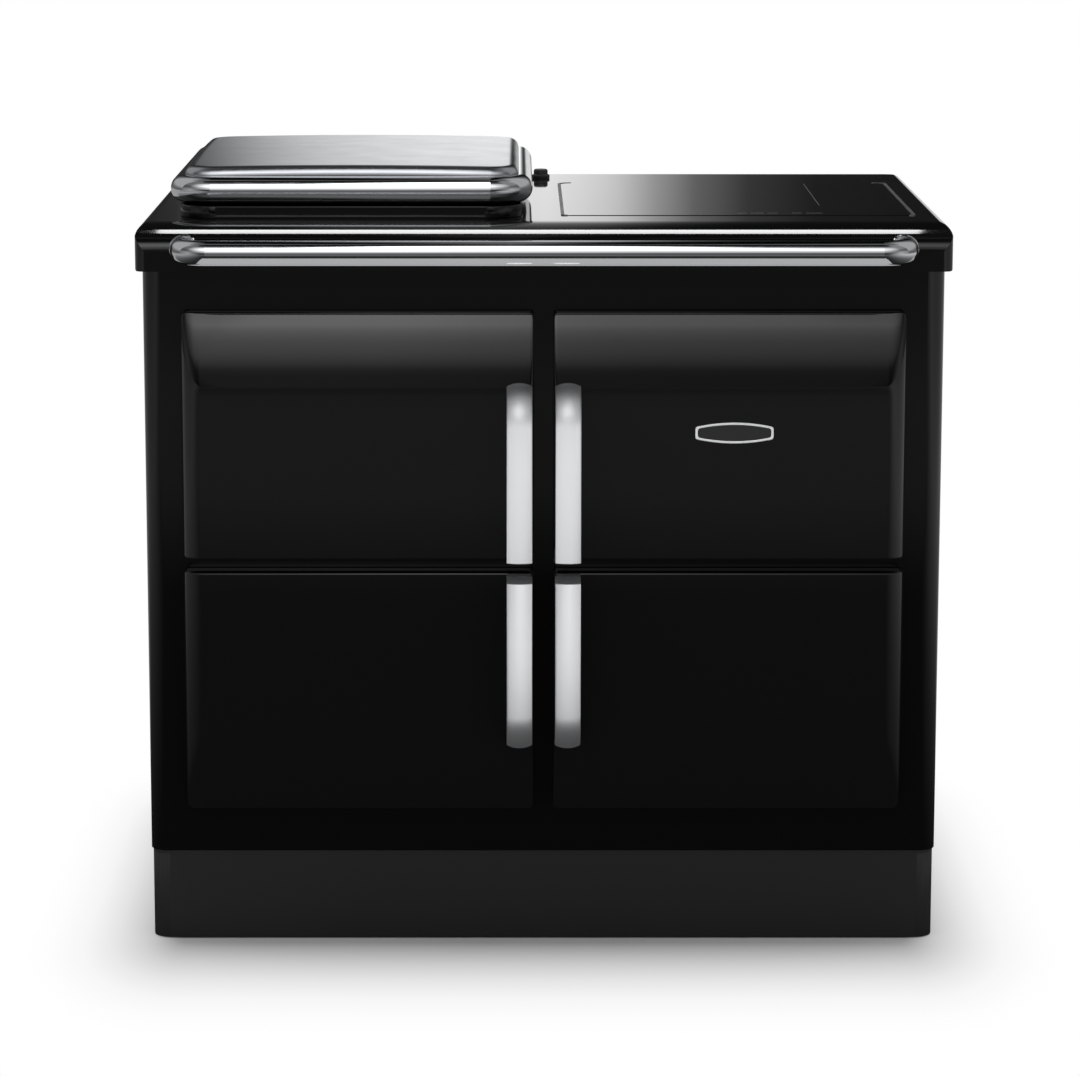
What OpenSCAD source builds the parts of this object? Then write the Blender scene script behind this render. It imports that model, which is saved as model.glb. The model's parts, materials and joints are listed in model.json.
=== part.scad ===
// Cast iron range cooker: three ovens behind crowned doors, a control recess
// behind the fourth door, a lidded hotplate and a glass hob in the top plate.
// Millimetres, X to the right, Y to the back, Z up. The origin is on the
// floor, under the middle of the whole cooker with its handrail.

/* [Overall] */
// Width across the top plate
range_w = 987; // [975:1:1000]
// Height of the top plate above the floor
plate_z = 900; // [896:1:910]
// Depth of the top plate, front edge to back edge
plate_d = 640; // [635:1:660]
// How far the handrail reaches in front of the top plate
rail_reach = 70; // [62:1:80]

/* [Top plate] */
// Height of the plate's edge
plate_t = 55; // [52:1:58]
// Radius of the wide upper curve of the front edge
nose_wide_r = 100; // [90:1:110]
// Radius of the tight lower curve of the front edge
nose_tight_r = 20; // [15:1:22]
// Degrees that the wide curve turns through
nose_turn = 30; // [26:1:32]

/* [Body] */
// Step in from the top plate's side to the side panel
body_step = 4; // [2:0.5:6]
// Height of the plinth, base tray included
plinth_h = 114; // [108:1:118]
// Face of the front plate, behind the top plate's front edge
face_y = 40; // [38:1:42]
// Thickness of the cast front plate
face_t = 8; // [6:0.5:8]
// Radius of the body's upright front corners
body_r = 22; // [18:1:26]
// Back panel, behind the top plate's front edge
back_y = 600; // [596:1:606]

/* [Doors] */
// Width of a door
door_w = 430; // [426:1:432]
// Height of a door
door_h = 302; // [300:1:304]
// Thickness of a door, front face to rim
door_t = 34; // [33:0.5:35]
// Distance of a door's inner edge from the cooker's middle
door_x = 12; // [10:0.5:13]
// Bottom of the upper doors
upper_z = 491; // [489:1:494]
// Bottom of the lower doors
lower_z = 172; // [170:1:174]
// Height of the crowned stretch of a door
crown_h = 100; // [80:1:110]
// Radius of the crown
crown_r = 237; // [220:1:260]
// Radius of a door's outer side
side_r = 25; // [20:1:25]
// Wall of a door's casting
door_wall = 6; // [5:0.5:7]

/* [Handles and rail] */
// Width of a handle strap
strap_w = 31; // [28:1:33]
// Thickness of a handle strap at its middle
strap_t = 9; // [7:0.5:10]
// How much thinner the crowned strap is at its edges
strap_crown = 4; // [2:0.5:4]
// Length of a handle
strap_l = 214; // [205:1:220]
// How far a handle stands off its door
strap_out = 48; // [42:1:50]
// Diameter of the handrail
rail_dia = 30; // [26:1:32]
// Length of the handrail, end to end
rail_l = 896; // [880:1:905]

/* [Ovens] */
// Height inside an oven
oven_h = 242; // [240:1:244]
// Width inside an oven
oven_w = 350; // [346:1:350]
// Depth inside an oven
oven_d = 490; // [470:1:495]
// Wall of an oven casting
oven_wall = 8; // [6:0.5:8]
// Shelf runners on each side
runners = 4; // [3:1:4]

/* [Lid and hob] */
// Width of the lid over its rolled rim
lid_w = 447; // [440:1:449]
// Depth of the lid over its rolled rim
lid_d = 475; // [465:1:480]
// Radius of the rolled rim
rim_r = 17; // [16:0.5:18]
// Width of the glass hob
glass_w = 429; // [420:1:432]
// Depth of the glass hob
glass_d = 396; // [385:1:405]

/* [Hidden] */

LEFT = -1;
RIGHT = 1;

front_y = rail_reach - (plate_d + rail_reach) / 2;
body_w = range_w - 2 * body_step;
body_top = plate_z - plate_t;
sheet = 3;
eps = 1;

// Doors: the front face lies just behind the top plate's front edge, and the
// rim stops short of the front plate.
rim_gap = 4;
door_y = face_y - rim_gap - door_t;
rib_x = door_w - 28;
pivot_in = 8;
pivot_x = door_x + door_w - pivot_in;
pivot_y = door_y + 25;
pin_r = 4;
bore_r = 4.05;
lug_t = 8;
lug_r = 6;
lug_zs = [40, door_h - 66];
lift = 18;
pin_l = 16;

// Apertures behind the doors
mouth_x = door_x + (door_w - oven_w) / 2;
mouth_up = (door_h - oven_h) / 2;
mouth_r = 12;
plug_gap = 6;
plug_d = 19;
seal_r = 3.8;

// Handles
strap_in = 2;
strap_seat = 5;

// Handrail
rail_r = rail_dia / 2;
rail_wall = 2.5;
rail_z = plate_z - 26;
bend_r = 30;
rail_y = rail_r - rail_reach;
rail_hold = 10;

// Plate openings
skin = 12;
lid_x = -236.5;
lid_y = 85 + lid_d / 2;
hot_w = 392;
hot_d = 388;
hot_r = 40;
hot_gap = 5;
hot_y = lid_y;
glass_x = 240.5;
glass_y = 317;
glass_t = 5;
ledge = 12;
base_h = 15;

// Lid
rim_z = plate_z + base_h + 1 + rim_r;
ring_r = 52;
flange = 34;
panel_in = rim_r + 0.2;
panel_lift = 5;
panel_h = 28;
dome_r = 12;
crown_wide_r = 8000;
lid_sheet = 2;
hinge_y = lid_y + lid_d / 2 + 18;
hinge_z = rim_z - 8;
hinge_xs = [lid_x - 163.5, lid_x + 163.5];
hinge_pin_r = 5;
hinge_bore_r = 5.05;
knuckle_r = 9;
knuckle_l = 24;
ear_t = 10;
arm_h = 10;

// Control recess
recess_d = 101;
panel_y = face_y + face_t + recess_d;
knob_xs = [137, 227, 317];
knob_z = upper_z + 160;
knob_r = 19;
knob_d = 31;
spindle_r = 4;

enamel = "#1b1b1d";
dark = "#2a2a2d";
chrome = "#d2d3d6";
steel = "#a9abae";
iron = "#4a4a4c";
alu = "#bdbfc2";

// ---------------------------------------------------------------- helpers

// y = 0 at the front edge of the top plate, which most sizes start from
module from_front() translate([0, front_y, 0]) children();

// A 2D shape's x and y become Y and Z, and it runs along X
module along_x(l) rotate([90, 0, 90]) linear_extrude(l) children();

// A 2D shape's x and y become X and Z, and it runs along Y
module along_y(l) translate([0, l, 0]) rotate([90, 0, 0]) linear_extrude(l) children();

// Draws for the right side, and mirrors it for the left
module on_side(side) mirror([side < 0 ? 1 : 0, 0, 0]) children();

// What a radius takes off the corner at the origin
module corner_bite(r) {
  if (r > 0) difference() {
    translate([-eps, -eps]) square(r + eps);
    translate([r, r]) circle(r, $fn = 64);
  }
}

// A rectangle with its own radius at each corner, from lower left, anticlockwise
module round_rect(size, r) {
  difference() {
    square(size);
    corner_bite(r[0]);
    translate([size.x, 0]) mirror([1, 0]) corner_bite(r[1]);
    translate(size) rotate(180) corner_bite(r[2]);
    translate([0, size.y]) mirror([0, 1]) corner_bite(r[3]);
  }
}

// The same, centred on the origin
module mid_rect(size, r) translate(-size / 2) round_rect(size, [r, r, r, r]);

// Sweeps a section round a rectangle of w by d with corners of radius r. The
// section's x is its distance from the centre of a corner.
module swept_ring(w, d, r) {
  for (k = [0:3]) {
    half = (k % 2 == 0 ? w : d) / 2 - r;
    run = (k % 2 == 0 ? d : w) - 2 * r;
    rotate(90 * k) translate([half, -run / 2, 0]) {
      along_y(run) children();
      translate([0, run, 0]) rotate_extrude(angle = 90, $fn = 64) children();
    }
  }
}

// ---------------------------------------------------------------- base and case

foot_xs = [-430, 430];
foot_ys = [110, 540];

module levelling_feet() {
  color(steel) from_front() for (x = foot_xs, y = foot_ys) translate([x, y, 0]) {
    cylinder(h = 6, r = 24, $fn = 48);
    translate([0, 0, 6]) cylinder(h = 8, r1 = 24, r2 = 11, $fn = 48);
    translate([0, 0, 14]) cylinder(h = plinth_h - 4 - 14, r = 6, $fn = 32);
    translate([0, 0, 78]) cylinder(h = 8, r = 11, $fn = 6);
  }
}

plinth_in = 2;
plinth_w = body_w - 2 * plinth_in;
plinth_top = plinth_h - 4;
corner_d = body_r + 8;

// Plan of a bent front: a wall with rounded corners and short returns
module bent_front(w, r, t, d) {
  translate([-w / 2, 0]) difference() {
    round_rect([w, d], [r, r, 0, 0]);
    translate([t, t]) round_rect([w - 2 * t, d], [r - t, r - t, 0, 0]);
  }
}

module plinth_front() {
  color(dark) from_front() translate([0, face_y + plinth_in, 1])
    linear_extrude(plinth_top - 1) bent_front(plinth_w, body_r, sheet, corner_d);
}

module plinth_sides() {
  side_y = face_y + plinth_in + corner_d;
  color(dark) from_front() for (side = [LEFT, RIGHT]) on_side(side)
    translate([plinth_w / 2 - sheet, side_y, 1]) cube([sheet, back_y - side_y, plinth_top - 1]);
}

module base_tray() {
  color(steel) from_front() translate([-plinth_w / 2, face_y + plinth_in / 2, plinth_top])
    linear_extrude(plinth_h - plinth_top)
      round_rect([plinth_w, back_y - face_y - 1], [body_r, body_r, 0, 0]);
}

panel_t = 2.5;
panel_lip = 18;

module side_panel(side) {
  start = face_y + corner_d;
  color(enamel) from_front() on_side(side) translate([body_w / 2 - panel_t, start, plinth_h])
    linear_extrude(body_top - plinth_h) {
      square([panel_t, back_y - sheet - start]);
      translate([-panel_lip, back_y - sheet - start - panel_t]) square([panel_lip + eps / 2, panel_t]);
    }
}

slot_n = 18;
slot_w = 6;
slot_h = 46;

module back_panel() {
  h = body_top - plinth_h;
  color(steel) from_front() translate([0, back_y - sheet, plinth_h]) difference() {
    translate([-body_w / 2 + 1, 0, 0]) cube([body_w - 2, sheet, h]);
    for (side = [LEFT, RIGHT], i = [0:slot_n - 1], z = [70, h - 110])
      translate([side * 240 + (i - (slot_n - 1) / 2) * 3 * slot_w - slot_w / 2, -eps, z])
        cube([slot_w, sheet + 2 * eps, slot_h]);
  }
}

screw_xs = [-470, -160, 160, 470];
screw_zs = [130, 365, 600, 828];

module back_screws() {
  color(chrome) from_front() for (x = screw_xs, z = screw_zs)
    if (abs(x) > 400 || z == screw_zs[0] || z == screw_zs[3])
      translate([x, back_y, z]) rotate([-90, 0, 0]) cylinder(h = 2.4, r = 4.5, $fn = 24);
}

notch_x = 117;
notch_w = 223;
notch_h = 4;

// The cast front: rounded upright corners, four mouths, hinge slots, vents
module front_plate() {
  h = body_top - plinth_h;
  color(enamel) from_front() translate([0, face_y, 0]) difference() {
    translate([0, 0, plinth_h]) linear_extrude(h) bent_front(body_w, body_r, face_t, corner_d);
    for (side = [LEFT, RIGHT], z = [upper_z, lower_z]) on_side(side) {
      translate([mouth_x, -eps, z + mouth_up]) along_y(face_t + 2 * eps)
        round_rect([oven_w, oven_h], [mouth_r, mouth_r, mouth_r, mouth_r]);
      for (lug_z = lug_zs)
        translate([pivot_x - lug_r, -eps, z + lug_z]) cube([2 * lug_r, face_t + 2 * eps, lug_t]);
    }
    for (side = [LEFT, RIGHT]) on_side(side)
      translate([notch_x, -eps, body_top - notch_h]) cube([notch_w, face_t + 2 * eps, notch_h + eps]);
  }
}

// ---------------------------------------------------------------- top plate

tight_y = nose_tight_r;
nose_d = (nose_wide_r - nose_tight_r) * sin(nose_turn) + nose_tight_r;
nose_join = nose_d - nose_wide_r * sin(nose_turn);
nose_low = plate_t - nose_wide_r + (nose_wide_r - nose_tight_r) * cos(nose_turn);

// What the two-radius front edge leaves off the square corner
module nose_bite() {
  difference() {
    translate([nose_join, nose_low]) square([nose_d - nose_join, plate_t]);
    translate([nose_d, plate_t - nose_wide_r]) circle(nose_wide_r, $fn = 256);
  }
  difference() {
    translate([-eps, nose_low]) square([nose_join + eps, plate_t]);
    translate([tight_y, nose_low]) circle(nose_tight_r, $fn = 96);
  }
}

module plate_blank() {
  intersection() {
    translate([-range_w / 2, 0, 0]) along_x(range_w) difference() {
      square([plate_d, plate_t]);
      nose_bite();
    }
    translate([-range_w / 2, 0, 0]) along_y(plate_d) round_rect([range_w, plate_t], [3, 3, 14, 14]);
    translate([-range_w / 2, 0, 0]) linear_extrude(plate_t)
      round_rect([range_w, plate_d], [12, 12, 25, 25]);
  }
}

vent_x = 0;
vent_y = 588;

module top_plate() {
  color(enamel) from_front() difference() {
    translate([0, 0, body_top]) plate_blank();
    translate([-range_w / 2 + skin, 2 * skin, body_top - eps])
      cube([range_w - 2 * skin, plate_d - 3 * skin, plate_t - skin + eps]);
    translate([lid_x, hot_y, plate_z - skin - eps]) linear_extrude(skin + 2 * eps)
      mid_rect([hot_w + 2 * hot_gap, hot_d + 2 * hot_gap], hot_r + hot_gap);
    translate([glass_x, glass_y, plate_z - skin - eps]) linear_extrude(skin + 2 * eps)
      mid_rect([glass_w - 2 * ledge, glass_d - 2 * ledge], 14);
    translate([glass_x, glass_y, plate_z - glass_t]) linear_extrude(glass_t + eps) glass_plan(trim_w);
    for (side = [LEFT, RIGHT]) on_side(side) translate([rail_l / 2 - rail_r, -eps, rail_z])
      rotate([-90, 0, 0]) cylinder(h = 3 * skin, r = rail_r, $fn = 64);
    translate([vent_x, vent_y, plate_z - skin - eps]) cylinder(h = skin + 2 * eps, r = 6, $fn = 32);
  }
}

module vent_cap() {
  color(dark) from_front() translate([vent_x, vent_y, 0]) {
    translate([0, 0, plate_z - skin]) cylinder(h = skin, r = 6, $fn = 32);
    translate([0, 0, plate_z]) cylinder(h = 4, r = 12, $fn = 48);
    translate([0, 0, plate_z + 4]) cylinder(h = 1.5, r1 = 12, r2 = 9.5, $fn = 48);
    translate([0, 0, plate_z + 5.5]) cylinder(h = 5, r = 9.5, $fn = 48);
    translate([0, 0, plate_z + 10.5]) cylinder(h = 1.5, r1 = 9.5, r2 = 8, $fn = 48);
  }
}

// ---------------------------------------------------------------- glass hob

trim_w = 4;
glass_r = 14;

// Plan of the glass, wider by a trim on each side
module glass_plan(trim) {
  w = glass_w + 2 * trim;
  translate([-w / 2, -glass_d / 2]) round_rect([w, glass_d], [4, 4, glass_r, glass_r]);
}

module glass_hob() {
  color("#101012") from_front() translate([glass_x, glass_y, plate_z - glass_t])
    linear_extrude(glass_t + 0.6) glass_plan(0);
}

module hob_trims() {
  color(chrome) from_front() translate([glass_x, glass_y, plate_z - glass_t])
    linear_extrude(glass_t + 1.2) difference() {
      glass_plan(trim_w);
      glass_plan(0);
      translate([-glass_w / 2 + glass_r, -glass_d]) square([glass_w - 2 * glass_r, 2 * glass_d]);
    }
}

tray_h = 36;
coil_r = 88;

module coil_tray() {
  w = glass_w - 2 * ledge - 6;
  d = glass_d - 2 * ledge - 6;
  color(alu) from_front() translate([glass_x, glass_y, plate_z - glass_t - tray_h]) difference() {
    linear_extrude(tray_h) mid_rect([w, d], 11);
    translate([0, 0, 2]) linear_extrude(tray_h) mid_rect([w - 4, d - 4], 9);
  }
}

// Two flat coils, each a stack of rings on a carrier disc
module induction_coils() {
  color("#b87333") from_front() for (side = [LEFT, RIGHT])
    translate([glass_x + side * 98, glass_y, plate_z - glass_t - tray_h + 2]) rotate_extrude($fn = 96) {
      translate([16, 0]) square([coil_r - 16, tray_h - 14]);
      for (i = [0:8]) translate([20 + i * 8, tray_h - 14]) square([5, 6]);
    }
}

// ---------------------------------------------------------------- hotplate

hot_under = 12;
element_h = 12;
element_z = plate_z - hot_under - element_h;

// A thick slab with a step round its ground top
module hotplate() {
  color(iron) from_front() translate([lid_x, hot_y, plate_z - hot_under]) {
    linear_extrude(hot_under + base_h) mid_rect([hot_w, hot_d], hot_r);
    linear_extrude(hot_under + base_h + 2) mid_rect([hot_w - 4, hot_d - 4], hot_r - 2);
  }
}

module hotplate_element() {
  color(steel) from_front() translate([lid_x, hot_y, element_z]) {
    cylinder(h = 3, r = 160, $fn = 128);
    for (r = [50, 95, 140]) translate([0, 0, 3]) rotate_extrude($fn = 96)
      translate([r - 10, 0]) square([20, element_h - 3]);
  }
}

// The gloss black base under the lid
module hotplate_surround() {
  color(enamel) from_front() translate([lid_x, lid_y, plate_z]) difference() {
    linear_extrude(base_h) mid_rect([lid_w - 25, lid_d + 6], 46);
    translate([0, 0, -eps]) linear_extrude(base_h + 2 * eps)
      mid_rect([hot_w + 2 * hot_gap, hot_d + 2 * hot_gap], hot_r + hot_gap);
  }
}

// ---------------------------------------------------------------- lid

// Half-round roll on the outside, with a flat flange inside it
module rim_section() {
  intersection() {
    translate([ring_r - rim_r, 0]) circle(rim_r, $fn = 64);
    translate([ring_r - rim_r, -rim_r]) square([rim_r, 2 * rim_r]);
  }
  translate([ring_r - flange, panel_lift - rim_r]) square([flange - rim_r + 0.01, rim_r]);
}

module lid_arm_bars() {
  for (x = hinge_xs)
    translate([x - knuckle_l / 2, hinge_y - 50, hinge_z - arm_h / 2 - 3]) cube([knuckle_l, 42, arm_h]);
}

module lid_frame() {
  color(chrome) from_front() difference() {
    translate([lid_x, lid_y, rim_z]) swept_ring(lid_w, lid_d, ring_r) rim_section();
    lid_arm_bars();
  }
}

// The domed panel's outside, or with i the same form set in by i
module dome(i) {
  w = lid_w - 2 * panel_in;
  d = lid_d - 2 * panel_in;
  intersection() {
    translate([0, 0, -i]) linear_extrude(panel_h) mid_rect([w - 2 * i, d - 2 * i], ring_r - panel_in - i);
    translate([0, -d / 2, 0]) along_y(d) dome_section(w, i);
    translate([-w / 2, 0, 0]) along_x(w) dome_section(d, i);
  }
}

// A wide, shallow arc between two shoulders
module dome_section(w, i) {
  intersection() {
    translate([i - w / 2, -i]) round_rect([w - 2 * i, panel_h], [0, 0, dome_r - i, dome_r - i]);
    translate([0, panel_h - crown_wide_r]) circle(crown_wide_r - i, $fn = 720);
  }
}

module lid_panel() {
  color(steel) from_front() translate([lid_x, lid_y, rim_z + panel_lift]) difference() {
    dome(0);
    dome(lid_sheet);
  }
}

liner_in = 2 * flange + 2;
liner_h = 17;
liner_r = ring_r - flange - 1;

module lid_liner() {
  w = lid_w - liner_in;
  d = lid_d - liner_in;
  color(alu) from_front() translate([lid_x, lid_y, rim_z + panel_lift - liner_h]) difference() {
    linear_extrude(liner_h) mid_rect([w, d], liner_r);
    translate([0, 0, lid_sheet]) linear_extrude(liner_h)
      mid_rect([w - 2 * lid_sheet, d - 2 * lid_sheet], liner_r - lid_sheet);
  }
}

module lid_insulation() {
  in = liner_in + 2 * lid_sheet;
  color("#cfc8b4") from_front() translate([lid_x, lid_y, rim_z + panel_lift - liner_h + lid_sheet])
    linear_extrude(liner_h - lid_sheet + 18) mid_rect([lid_w - in, lid_d - in], liner_r - lid_sheet);
}

module lid_hinge_arms() {
  color(chrome) from_front() difference() {
    union() {
      lid_arm_bars();
      for (x = hinge_xs) translate([x - knuckle_l / 2, hinge_y, hinge_z]) rotate([0, 90, 0])
        cylinder(h = knuckle_l, r = knuckle_r, $fn = 48);
    }
    translate([lid_x - lid_w / 2, hinge_y, hinge_z]) rotate([0, 90, 0])
      cylinder(h = lid_w, r = hinge_bore_r, $fn = 48);
  }
}

// Two clevises on the top plate, each with its pin
module lid_hinge_posts() {
  gap = 0.5;
  ear_x = knuckle_l / 2 + gap;
  color(chrome) from_front() for (x = hinge_xs) translate([x, hinge_y, 0]) {
    for (side = [LEFT, RIGHT]) on_side(side) translate([ear_x, 0, 0]) {
      translate([0, -10, plate_z + 4]) cube([ear_t, 20, hinge_z - plate_z - 4]);
      translate([0, 0, hinge_z]) rotate([0, 90, 0]) cylinder(h = ear_t, r = 10, $fn = 48);
    }
    translate([-ear_x - ear_t - 6, -14, plate_z]) cube([2 * (ear_x + ear_t + 6), 28, 4]);
    translate([-ear_x - ear_t - 2, 0, hinge_z]) rotate([0, 90, 0])
      cylinder(h = 2 * (ear_x + ear_t + 2), r = hinge_pin_r, $fn = 48);
  }
}

// ---------------------------------------------------------------- handrail

// A tube bent back at both ends, held in the top plate's front edge
module rail_form(r) {
  half = rail_l / 2 - rail_r;
  translate([-half + bend_r, rail_y, rail_z]) rotate([0, 90, 0])
    cylinder(h = 2 * (half - bend_r), r = r, $fn = 64);
  for (side = [LEFT, RIGHT]) on_side(side) {
    translate([half - bend_r, rail_y + bend_r, rail_z]) rotate(-90) rotate_extrude(angle = 90, $fn = 96)
      translate([bend_r, 0]) circle(r, $fn = 64);
    translate([half, rail_y + bend_r, rail_z]) rotate([-90, 0, 0])
      cylinder(h = rail_hold - rail_y - bend_r, r = r, $fn = 64);
  }
}

module handrail() {
  color(chrome) from_front() difference() {
    rail_form(rail_r);
    rail_form(rail_r - rail_wall);
  }
}

module rail_collars() {
  color(chrome) from_front() for (side = [LEFT, RIGHT]) on_side(side)
    translate([rail_l / 2 - rail_r, -13, rail_z]) rotate([-90, 0, 0]) difference() {
      union() {
        cylinder(h = 9, r = rail_r + 2, $fn = 64);
        translate([0, 0, -1]) cylinder(h = 1, r1 = rail_r + 1, r2 = rail_r + 2, $fn = 64);
      }
      translate([0, 0, -4]) cylinder(h = 14, r = rail_r, $fn = 64);
    }
}

// ---------------------------------------------------------------- ovens

runner_h = 5;
runner_out = 6;
runner_step = 46;

// A cast box, open at the front, with its shelf runners and a rear vent
module oven(side, z) {
  color(iron) from_front() on_side(side)
    translate([mouth_x, face_y + face_t, z + mouth_up]) {
      difference() {
        translate([-oven_wall, 0, -oven_wall]) along_y(oven_d + oven_wall)
          round_rect([oven_w + 2 * oven_wall, oven_h + 2 * oven_wall], [20, 20, 20, 20]);
        translate([0, -eps, 0]) along_y(oven_d + eps)
          round_rect([oven_w, oven_h], [mouth_r, mouth_r, mouth_r, mouth_r]);
        translate([oven_w / 2, oven_d - eps, oven_h - 40]) rotate([-90, 0, 0])
          cylinder(h = oven_wall + 2 * eps, r = 12, $fn = 32);
      }
      for (i = [0:runners - 1], x = [-eps, oven_w - runner_out])
        translate([x, 16, 46 + i * runner_step]) cube([runner_out + eps, oven_d - 24, runner_h]);
    }
}

wire_r = 3;
shelf_d = 440;
shelf_pitch = 28.5;

// A grid shelf of bent and welded wire, on one pair of runners
module shelf(side, z, level) {
  rest = z + mouth_up + 46 + level * runner_step + runner_h + wire_r;
  half = oven_w / 2 - wire_r - 0.5;
  color(chrome) from_front() on_side(side) translate([mouth_x + oven_w / 2, face_y + 40, rest]) {
    for (i = [-6:6]) translate([i * shelf_pitch, 0, 0]) rotate([-90, 0, 0])
      cylinder(h = shelf_d, r = abs(i) == 6 ? wire_r : 2.2, $fn = 24);
    for (y = [0, shelf_d / 2, shelf_d]) translate([-half, y, 0]) rotate([0, 90, 0])
      cylinder(h = 2 * half, r = wire_r, $fn = 24);
    translate([-half + 14, shelf_d, 16]) rotate([0, 90, 0]) cylinder(h = 2 * half - 28, r = wire_r, $fn = 24);
    for (i = [-4, 0, 4]) translate([i * shelf_pitch, shelf_d, 0]) cylinder(h = 16, r = wire_r, $fn = 24);
  }
}

element_r = 3.5;
bend_x = 110;

// A hairpin element under each oven's floor
module oven_elements() {
  start = face_y + face_t + bend_x + 24;
  color(steel) from_front() for (at = [[LEFT, upper_z], [LEFT, lower_z], [RIGHT, lower_z]])
    on_side(at[0]) translate([mouth_x + oven_w / 2, start, at[1] + mouth_up - oven_wall - element_r]) {
      for (side = [LEFT, RIGHT]) translate([side * bend_x, 0, 0]) rotate([-90, 0, 0])
        cylinder(h = 370, r = element_r, $fn = 24);
      rotate(180) rotate_extrude(angle = 180, $fn = 96) translate([bend_x, 0])
        circle(element_r, $fn = 24);
    }
}

board_in = 412;
board_out = 480;
board_front = 52;
board_back = 592;

module board(x, y, z) translate([x[0], y[0], z[0]]) cube([x[1] - x[0], y[1] - y[0], z[1] - z[0]]);

// Rigid boards that fill the case round the ovens
module insulation_boards() {
  deep = [board_front, board_back];
  low = lower_z + mouth_up - oven_wall;
  mid = lower_z + mouth_up + oven_h + oven_wall;
  high = upper_z + mouth_up - oven_wall;
  roof = upper_z + mouth_up + oven_h + oven_wall;
  wire = 2 * element_r;
  rear = [face_y + face_t + oven_d + oven_wall, board_back];
  color("#cfc8b4") from_front() {
    board([-board_in + 1, board_in - 1], deep, [plinth_h, low - wire]);
    board([-board_in + 1, board_in - 1], deep, [mid, high - wire]);
    board([-board_in + 1, board_in - 1], deep, [roof, body_top - 2]);
    for (side = [LEFT, RIGHT]) on_side(side)
      board([board_in, board_out], [face_y + corner_d + 2, board_back], [plinth_h, body_top - 2]);
    for (z = [[low, mid], [high, roof]]) {
      board([-mouth_x + oven_wall, mouth_x - oven_wall], deep, z);
      board([-board_in + 1, -mouth_x + oven_wall], rear, z);
    }
    board([mouth_x - oven_wall, board_in - 1], rear, [low, mid]);
    board([mouth_x - oven_wall, board_in - 1], [260, board_back], [high, roof]);
    translate([lid_x, hot_y, 0]) board([-165, 165], [-165, 165], [body_top - 2, element_z]);
  }
}

// ---------------------------------------------------------------- control recess

module control_compartment() {
  color(dark) from_front() translate([mouth_x, face_y + face_t, upper_z + mouth_up]) difference() {
    translate([-sheet, 0, -sheet]) along_y(recess_d)
      round_rect([oven_w + 2 * sheet, oven_h + 2 * sheet], [15, 15, 15, 15]);
    translate([0, -eps, 0]) along_y(recess_d + 2 * eps)
      round_rect([oven_w, oven_h], [mouth_r, mouth_r, mouth_r, mouth_r]);
  }
}

spindle_gap = 0.6;

module knob_holes(d) {
  for (x = knob_xs) translate([x, panel_y - eps, knob_z]) rotate([-90, 0, 0])
    cylinder(h = d + eps, r = spindle_r + spindle_gap, $fn = 32);
}

module control_panel() {
  color(alu) from_front() difference() {
    translate([mouth_x - sheet, panel_y, upper_z + mouth_up - sheet]) along_y(sheet)
      round_rect([oven_w + 2 * sheet, oven_h + 2 * sheet], [15, 15, 15, 15]);
    knob_holes(sheet + eps);
    for (x = knob_xs) translate([x, panel_y - eps, knob_z + 42]) rotate([-90, 0, 0])
      cylinder(h = sheet + 2 * eps, r = 4, $fn = 32);
    translate([mouth_x + 95, panel_y - eps, upper_z + mouth_up + 30]) along_y(2.2)
      round_rect([160, 56], [6, 6, 6, 6]);
  }
}

module control_module() {
  w = 260;
  h = 190;
  color(dark) from_front() difference() {
    translate([227 - w / 2, panel_y + sheet, upper_z + mouth_up + 24]) along_y(70)
      round_rect([w, h], [8, 8, 8, 8]);
    knob_holes(30);
    for (i = [0:9]) translate([130 + i * 20, panel_y + sheet + 64, upper_z + mouth_up + 60])
      cube([6, 10, 110]);
  }
}

module knob(x) {
  color(chrome) from_front() translate([x, panel_y - spindle_gap, knob_z]) rotate([90, 0, 0]) {
    difference() {
      union() {
        cylinder(h = 4, r = knob_r + 4, $fn = 64);
        translate([0, 0, 4]) cylinder(h = knob_d - 7, r1 = knob_r, r2 = knob_r - 1.5, $fn = 64);
        translate([0, 0, knob_d - 3]) cylinder(h = 3, r1 = knob_r - 1.5, r2 = knob_r - 4, $fn = 64);
      }
      for (side = [LEFT, RIGHT]) translate([side * (knob_r - 2) - 6, -knob_r - 5, 16])
        cube([12, 2 * knob_r + 10, knob_d]);
      translate([-1, 4, knob_d - 1]) cube([2, knob_r, 2]);
    }
    translate([0, 0, -20]) cylinder(h = 20 + eps, r = spindle_r, $fn = 32);
  }
}

// ---------------------------------------------------------------- doors

// A door's own frame: x from its inner edge outwards, y from its front face
// back, z up from its bottom. The crown curves back at the top, or with
// flip at the bottom.
module in_door(side, z, flip) {
  from_front() on_side(side) translate([door_x, door_y, z])
    translate([0, 0, flip ? door_h : 0]) mirror([0, 0, flip ? 1 : 0]) children();
}

// The door's outside, or with i the same form set in by i on every face but
// the back
module door_form(i) {
  w = door_w - 2 * i;
  h = door_h - 2 * i;
  deep = door_t + (i > 0 ? eps : 0);
  flat_h = door_h - crown_h;
  intersection() {
    translate([i, -eps, i]) along_y(deep + 2 * eps) round_rect([w, h], [5, 6, 10, 5]);
    translate([i, i, -eps]) linear_extrude(door_h + 2 * eps)
      round_rect([w, deep - i], [5, side_r - i, 0, 0]);
    translate([-eps, 0, 0]) along_x(door_w + 2 * eps) {
      translate([-eps, -eps]) square([deep + 2 * eps, flat_h + eps]);
      intersection() {
        translate([crown_r, flat_h]) circle(crown_r - i, $fn = 360);
        translate([-eps, flat_h]) square([deep + 2 * eps, crown_h + eps]);
      }
    }
  }
}

boss_l = 26;
strap_z = 4;

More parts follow.
